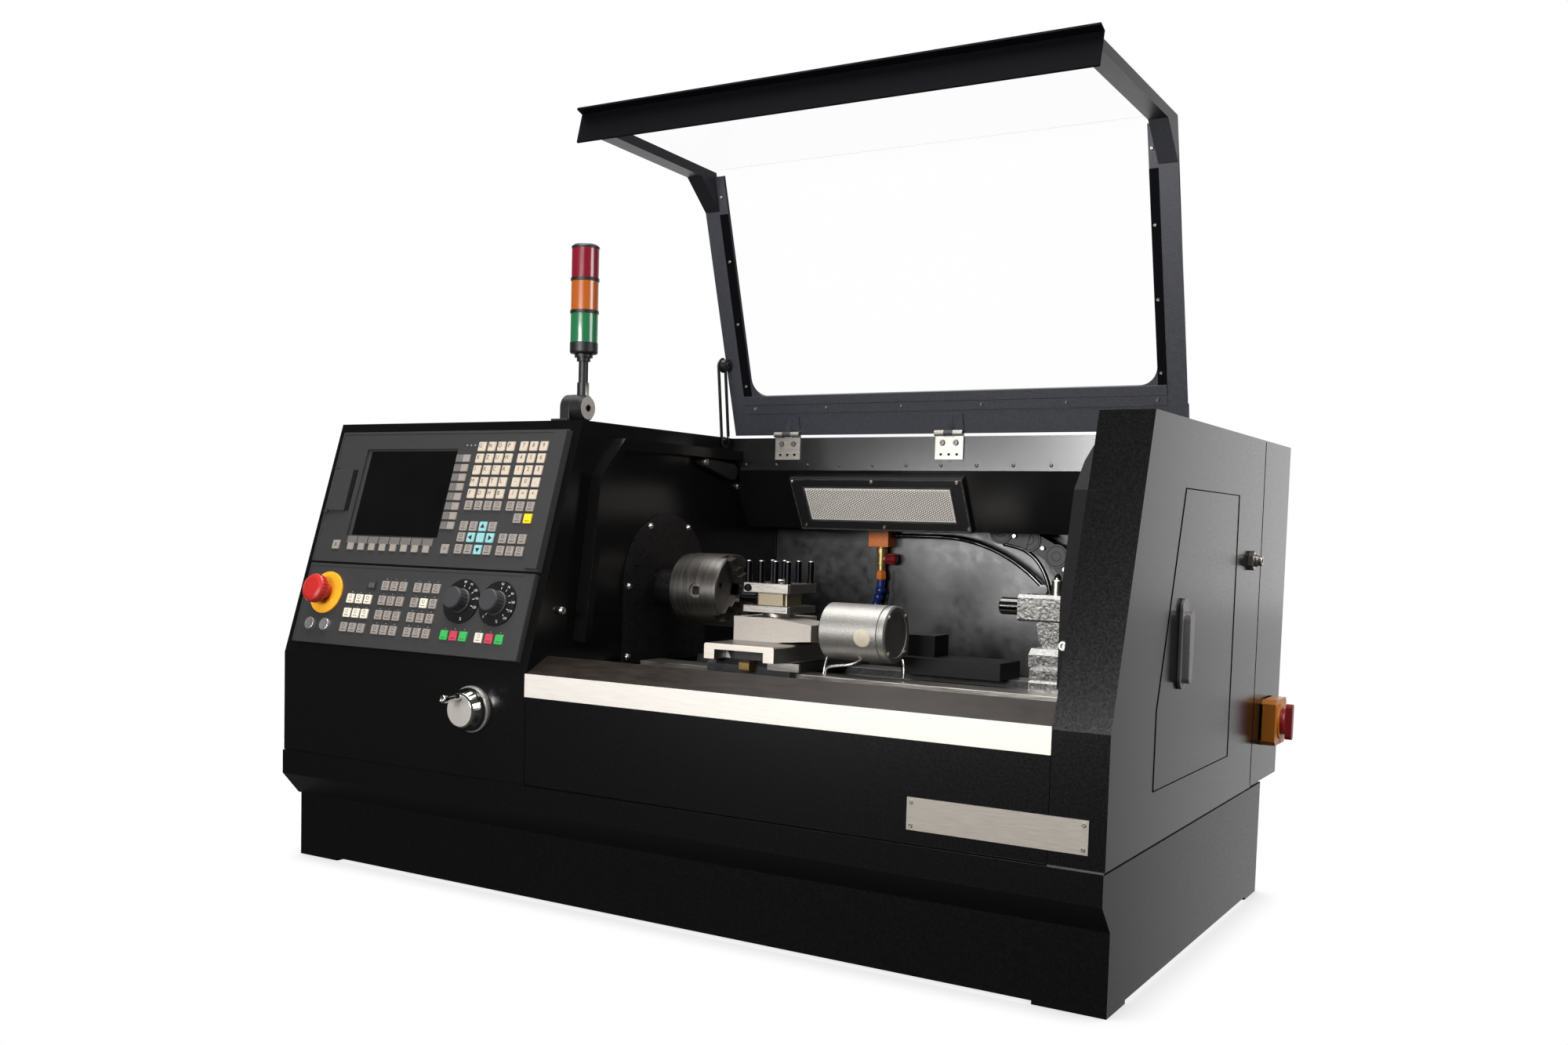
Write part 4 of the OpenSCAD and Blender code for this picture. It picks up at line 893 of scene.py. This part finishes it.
black_ink = make_finish("black screen print", ("#17171a", "#232326"), 1, 0.001, (0.5, 0.6))
white_ink = make_finish("white screen print", ("#c9c6c1", "#dbd8d3"), 1, 0.001, (0.5, 0.6))
key_top = bezel_face + 1.95
marks = [
    (text, x - 2.6 * (i < 4), s + 1.0, key_top, 8.5, 0)
    for s, row in zip(key_rows, letters) for i, (x, text) in enumerate(zip(key_columns, row))
]
marks += [("^", 55, 156, key_top, 12, 0), (">", 262.6, 158.2, key_top, 9, 0)]
print_marks("key_letters", marks, black_ink, "keys", panel_face)

# Arrow head, also printed, with its point to the right.
arrow_tree, sockets = new_tree("arrow head", ("Radius",))
arrow = add_node(
    arrow_tree, "GeometryNodeMeshCircle", {"Vertices": 3, "Radius": sockets["Radius"]}, fill_type="NGON"
)
arrow_body = add_node(
    arrow_tree, "GeometryNodeExtrudeMesh",
    {"Mesh": arrow.outputs["Mesh"], "Offset Scale": ink_depth * MM, "Individual": False},
)
set_out(arrow_tree, sockets, arrow_body.outputs["Mesh"])
for (x, s), angle in arrow_keys.items():
    spot = panel_face @ turned_spot(x, s, key_top, angle)
    grow("arrow_%d" % angle, arrow_tree, [(0, 0, 0)], {"Radius": 4.2}, black_ink, "keys", spot)
plain_keys = [(x, s) for name in ("grey", "white") for x, s in seats[name] if (x, s) not in page_keys]
signs = [(x, s + 2.2, key_top) for x, s in plain_keys]
grow("key_signs", ring_tree, signs, {"Radius": 2.3, "Thickness": 0.28}, black_ink, "keys", panel_face)
lined_keys = plain_keys + seats["green"] + seats["red"] + seats["yellow"]
lines = [(x, s - 3.4, key_top - 0.03) for x, s in lined_keys]
grow(
    "key_lines", key_tree, lines, {"Width": 7.5, "Height": 0.9, "Rise": 0.08, "Corner": 0.1}, black_ink,
    "keys", panel_face,
)

# Lamps beside the keys, the two-digit counter and its window.
lamp_white = make_finish("unlit indicator lamp", ("#8b8883", "#a19e99"), 1, 0.002, (0.2, 0.3))
dots = [(x, s + 9.3, bezel_face) for x in second + third for s in lower_rows]
dots += [(x, s, bezel_face) for s in (70.9, 91.4) for x in first]
dots += [(x, 51, bezel_face) for x in (297, 313.4, 330, 357.2, 374.7, 391.6)]
grow("key_lamps", bead_tree, dots, {"Radius": 0.75}, lamp_white, "keys", panel_face)
grow(
    "status_lamps", bead_tree, [(x, 305, bezel_face) for x in (258.5, 265.5, 272.7)], {"Radius": 1.3},
    lamp_white, "keys", panel_face,
)
counter_glass = make_finish("smoked counter window", ("#29292a", "#323233"), 4, 0.001, (0.3, 0.4))
unlit_digit = make_finish("unlit counter digits", ("#5e5e5e", "#707070"), 2, 0.001, (0.4, 0.5))
strips("counter_window", [(135.5, 152.5, 96.8, 107.8, 6.9, 8.05)], counter_glass, "keys", panel_face)
print_marks("counter_digits", [("88", 144, 102.3, 8.12, 11, 0)], unlit_digit, "keys", panel_face)

# ---- Stop head, push buttons and dials ------------------------------------
# A fluted red mushroom head sits on a bare yellow ring, above two bright push buttons.
# Each dial is a fluted matt knob over a black plate with white marks.
stop_red = make_finish("red moulded ABS", ("#ae2320", "#c22e2a"), 1.6, 0.01, (0.3, 0.42))
ring_yellow = make_finish("yellow laminate ring", ("#eca41d", "#f4b330"), 5, 0.003, (0.4, 0.5))
polished_chrome = make_finish(
    "polished chrome", ("#d6d4d0", "#efedea"), 20, 0.001, (0.06, 0.12), inputs={"Metallic": 1.0}
)
satin_chrome = make_finish(
    "satin chrome", ("#cbc9c5", "#e0deda"), 8, 0.002, (0.2, 0.3), inputs={"Metallic": 0.8}
)
knob_grey = make_finish("matt grey knob", ("#2e2e30", "#3a3a3c"), 1, 0.02, (0.48, 0.6))
dress("stop_head", stop_red, 0.5)
dress("stop_ring", ring_yellow, 0.6)
for name in ("button_a", "button_b"):
    dress(name, satin_chrome, 0.6)
for name in ("dial_left", "dial_right"):
    dress(name, knob_grey, 0.5)
plate_top = bezel_face + 2.5
tick_reach, number_reach = 20.5, 26
# Each number's place round its dial, in degrees from the right.
dial_labels = {
    dial_left_x: {80: 88, 90: 62, 100: 36, 110: 10, 120: -16},
    dial_right_x: {50: 84, 70: 58, 90: 32, 100: 6, 110: -20, 120: -46, 0: 226},
}
ticks, numbers = [], []
for x, labels in dial_labels.items():
    for label, angle in labels.items():
        along = Vector((math.cos(math.radians(angle)), math.sin(math.radians(angle))))
        number_spot = (x + number_reach * along.x, dial_s + number_reach * along.y)
        numbers.append((str(label), *number_spot, plate_top, 4.6, 0))
        ticks.append((x, along, angle))
print_marks("dial_numbers", numbers, white_ink, "panels", panel_face)
for index, (x, along, angle) in enumerate(ticks):
    spot = panel_face @ turned_spot(
        x + tick_reach * along.x, dial_s + tick_reach * along.y, plate_top - 0.05, angle
    )
    grow(
        "dial_tick_%d" % index, key_tree, [(0, 0, 0)],
        {"Width": 3.2, "Height": 0.8, "Rise": 0.1, "Corner": 0.1}, white_ink, "panels", spot,
    )
print_marks(
    "dial_units", [("%", 320, 64.5, plate_top, 6, 0), ("%", 382, 64.5, plate_top, 6, 0)], white_ink,
    "panels", panel_face,
)

# ---- Hand wheel -----------------------------------------------------------
# A dished and polished hand wheel with a satin face turns on a graduated flange,
# and a small chromed crank handle spins on its rim.
polished_flange = make_finish(
    "polished nickel flange", ("#cfccc8", "#e4e1dd"), 1, 0.001, (0.16, 0.24), inputs={"Metallic": 0.75}
)
satin_face = make_finish(
    "satin aluminium face", ("#c4bfb8", "#d6d1ca"), 1.2, 0.003, (0.4, 0.5), inputs={"Metallic": 0.5}
)
dress("mpg_flange", polished_flange, 0.3)
dress(
    "mpg_wheel", (polished_chrome, satin_face), 0.4,
    lambda middle, out: int(out.y < -0.9 and middle.y < -18),
)
dress("mpg_crank", polished_chrome, 0.3)
flange_face = facing((354, -1.5, 242))
graduations, graduation_radius = [], 29.0
for index in range(50):
    angle = math.radians(index * 7.2)
    graduations.append((graduation_radius * math.cos(angle), graduation_radius * math.sin(angle), -0.15))
grow("flange_graduations", bead_tree, graduations, {"Radius": 0.35}, black_ink, "mpg_flange", flange_face)

# ---- Signal light ---------------------------------------------------------
# Three moulded lenses, red, amber and green, stack between black collars on a folding foot.
lens_colours = {
    "red": ("#7e1024", "#8b162b"), "amber": ("#b0581c", "#bd6527"), "green": ("#1f6b40", "#287a4b")
}
lens_finishes = []
for name, colours in lens_colours.items():
    shine = {"Coat Weight": 1.0, "Coat Roughness": 0.06}
    lens_finishes.append(
        make_finish(name + " acrylic lens", colours, 8, 0.0, (0.2, 0.28), (1, 1, 0.02), shine)
    )
dress("stack_base", moulded_nylon, 0.8)
dress(
    "stack_pole", (moulded_nylon, satin_face), 0.5, lambda middle, out: int(out.x > 0.9 and middle.z < 660)
)
pivot_face = facing((428, 135, 635), (0, 1, 0), (1, 0, 0))
grow(
    "pivot_screw", screw_tree, [(0, 0, 0.2)], {"Radius": 4.4, "Height": 1.4}, black_screw, "stack_pole",
    pivot_face,
)
grow(
    "pivot_ring", ring_tree, [(0, 0, 1.2)], {"Radius": 2.3, "Thickness": 0.35}, bright_screw, "stack_pole",
    pivot_face,
)
lens_foot, lens_height = 719.7, 42


def lens_part(middle, out):
    """The number of the lens from the top: 0 is red, 1 is amber, 2 is green."""
    return 2 - min(2, max(0, int((middle.z - lens_foot) / lens_height)))


dress("signal_lenses", lens_finishes, 0.5, lens_part)

# ---- Right end fittings ---------------------------------------------------
# A die-cast swing handle closes the side door. Behind it are a nickel plated air fitting
# and the mains switch, a red turning handle on an orange moulded base.
die_cast = make_finish(
    "painted die casting", ("#8d8b8a", "#a3a1a0"), 1.4, 0.02, (0.32, 0.45), inputs={"Metallic": 0.3}
)
nickel = make_finish(
    "nickel plated brass", ("#aaa49c", "#c9c3bb"), 1, 0.004, (0.2, 0.32), inputs={"Metallic": 0.75}
)
switch_orange = make_finish("orange moulded polycarbonate", ("#cf7a26", "#dd8a33"), 2, 0.01, (0.3, 0.4))
handle_red = make_finish("dark red moulded handle", ("#8f1f22", "#a32a2c"), 2, 0.01, (0.28, 0.4))
dress("door_latch", die_cast, 0.8)
dress("air_fitting", nickel, 0.3)
dress("switch_box", switch_orange, 1.0)
dress("switch_handle", handle_red, 0.8)
right_side = facing((1190, 0, 0), (0, 1, 0), (1, 0, 0))
gasket = [(652.4, 718.6, 213, 262, -0.2, 2.2), (661, 710, 205.4, 269.6, -0.2, 2.2)]
seal_rubber_and_gap_shadow = make_finish(
    "matt black rubber seal and painted gap shadow", ("#050505", "#080808"), 2, 0.01, (0.8, 0.9),
    inputs={"Specular IOR Level": 0.05},
)
strips("switch_gasket", gasket, seal_rubber_and_gap_shadow, "switch_box", right_side)
# Thin matt black strips painted into the joints as shadow gaps: stand to enclosure, enclosure to rear
# cabinet, and round the side door.
strips("stand_seam_shadow", [(2, 668, 152.1, 153.9, -0.4, 0.3)], seal_rubber_and_gap_shadow, "base_stand", right_side, 0.1)
strips("cabinet_seam_shadow", [(608.3, 609.9, 157, 615, -0.4, 0.3)], seal_rubber_and_gap_shadow, "right_housing", right_side, 0.1)
door_corners = ((234, 540.4), (476, 540.4), (476, 212.6), (155.6, 213.1), (155.6, 300), (234, 540.4))
bent_tube("door_gap_shadow", [(1190, y, z) for y, z in door_corners], 0.75, seal_rubber_and_gap_shadow, "side_door", "POLY")

# ---- Studio ---------------------------------------------------------------
# A white studio: the camera sees white, and the machine sees a bright wall at the back left and a
# dark room elsewhere. Five boxes light it from above, from the front and from the right.
camera = put("camera", bpy.data.cameras.new("camera"))
camera.data.lens = 32.94
camera.data.sensor_width = 36.0
camera.data.shift_x = 0.01136
camera.data.shift_y = 0.0608
camera.data.clip_start = 0.05
pan, tip, roll = (math.radians(angle) for angle in (31.398, 90 - 3.623, 1.5747))
turn = Matrix.Rotation(pan, 4, "Z") @ Matrix.Rotation(tip, 4, "X") @ Matrix.Rotation(roll, 4, "Z")
camera.matrix_world = Matrix.Translation((1.01395, -1.71995, 0.48515)) @ turn
scene.camera = camera


def backdrop(tree, direction, left_back, peak):
    """How brightly the studio shines from a direction: a lit wall that fades to a dark room."""
    towards = add_node(tree, "ShaderNodeVectorMath", {0: direction, 1: left_back}, operation="DOT_PRODUCT")
    wall_starts, wall_full, dark_room = 0.56, 0.8, 0.07
    edge = {"Value": towards.outputs["Value"], "From Min": wall_starts, "From Max": wall_full}
    edge.update({"To Min": dark_room, "To Max": peak})
    return add_node(tree, "ShaderNodeMapRange", edge, interpolation_type="SMOOTHSTEP").outputs["Result"]


def two_strengths(tree, shown, glow):
    """One strength for the camera's straight rays and another, the glow, that lights the machine."""
    path = add_node(tree, "ShaderNodeLightPath").outputs
    rays = {0: path["Is Camera Ray"], 1: path["Is Transmission Ray"]}
    seen = add_node(tree, "ShaderNodeMath", rays, operation="MAXIMUM")
    mixed = add_node(tree, "ShaderNodeMix", {"Factor": seen.outputs[0], "A": glow, "B": shown})
    return mixed.outputs["Result"]


world = bpy.data.worlds.new("studio")
scene.world = world
world.use_nodes = True
tree = world.node_tree
tree.nodes.clear()
direction = add_node(tree, "ShaderNodeTexCoord").outputs["Generated"]
glow = backdrop(tree, direction, (-0.5, 0.866, 0.0), 1.6)
strength = two_strengths(tree, 1.0, glow)
sky = add_node(tree, "ShaderNodeBackground", {"Color": (1, 1, 1, 1), "Strength": strength})
add_node(tree, "ShaderNodeOutputWorld", {"Surface": sky.outputs[0]})


def soft_box(name, place, aim, size, power):
    """A rectangular studio light."""
    light = bpy.data.lights.new(name, "AREA")
    light.shape = "RECTANGLE"
    light.size, light.size_y = size
    light.energy = power
    lamp = put(name, light)
    lamp.location = place
    lamp.rotation_euler = (Vector(aim) - Vector(place)).to_track_quat("-Z", "Y").to_euler()


soft_box("ceiling_box", (-0.2, -0.4, 2.6), (0, 0, 0.4), (2.4, 1.6), 85)
soft_box("front_box", (0.05, -2.4, 0.8), (0.2, 0.1, 0.6), (1.0, 0.45), 34)
soft_box("wall_box", (-0.85, -2.4, 0.46), (0.1, 0.0, 0.4), (0.55, 0.3), 8)
soft_box("key_box", (0.45, -2.3, 1.5), (0.1, 0.0, 0.35), (0.5, 0.5), 5)
soft_box("side_box", (2.6, 0.1, 1.5), (0.6, 0.1, 0.4), (1.2, 1.2), 30)

floor_mesh = bpy.data.meshes.new("floor")
floor_mesh.from_pydata([(-9, -9, 0), (9, -9, 0), (9, 9, 0), (-9, 9, 0)], [], [(0, 1, 2, 3)])
floor = put("floor", floor_mesh)
paper = bpy.data.materials.new("white paper sweep")
paper.use_nodes = True
tree = paper.node_tree
tree.nodes.remove(tree.nodes["Principled BSDF"])
incoming = add_node(tree, "ShaderNodeNewGeometry").outputs["Incoming"]
glow = backdrop(tree, incoming, (0.5, -0.866, 0.0), 1.0)
# Ambient occlusion darkens the glowing paper near the machine: a painted contact shadow.
contact = add_node(tree, "ShaderNodeAmbientOcclusion", {"Distance": 0.07})
fade = {"Value": contact.outputs["AO"], "From Min": 0.3, "From Max": 0.85, "To Min": 0.62, "To Max": 1.0}
shade = add_node(tree, "ShaderNodeMapRange", fade).outputs["Result"]
lit_paper = add_node(tree, "ShaderNodeEmission", {"Strength": two_strengths(tree, shade, glow)})
tree.links.new(lit_paper.outputs[0], tree.nodes["Material Output"].inputs["Surface"])
floor_mesh.materials.append(paper)

scene.view_settings.view_transform = "Standard"
scene.view_settings.look = "None"
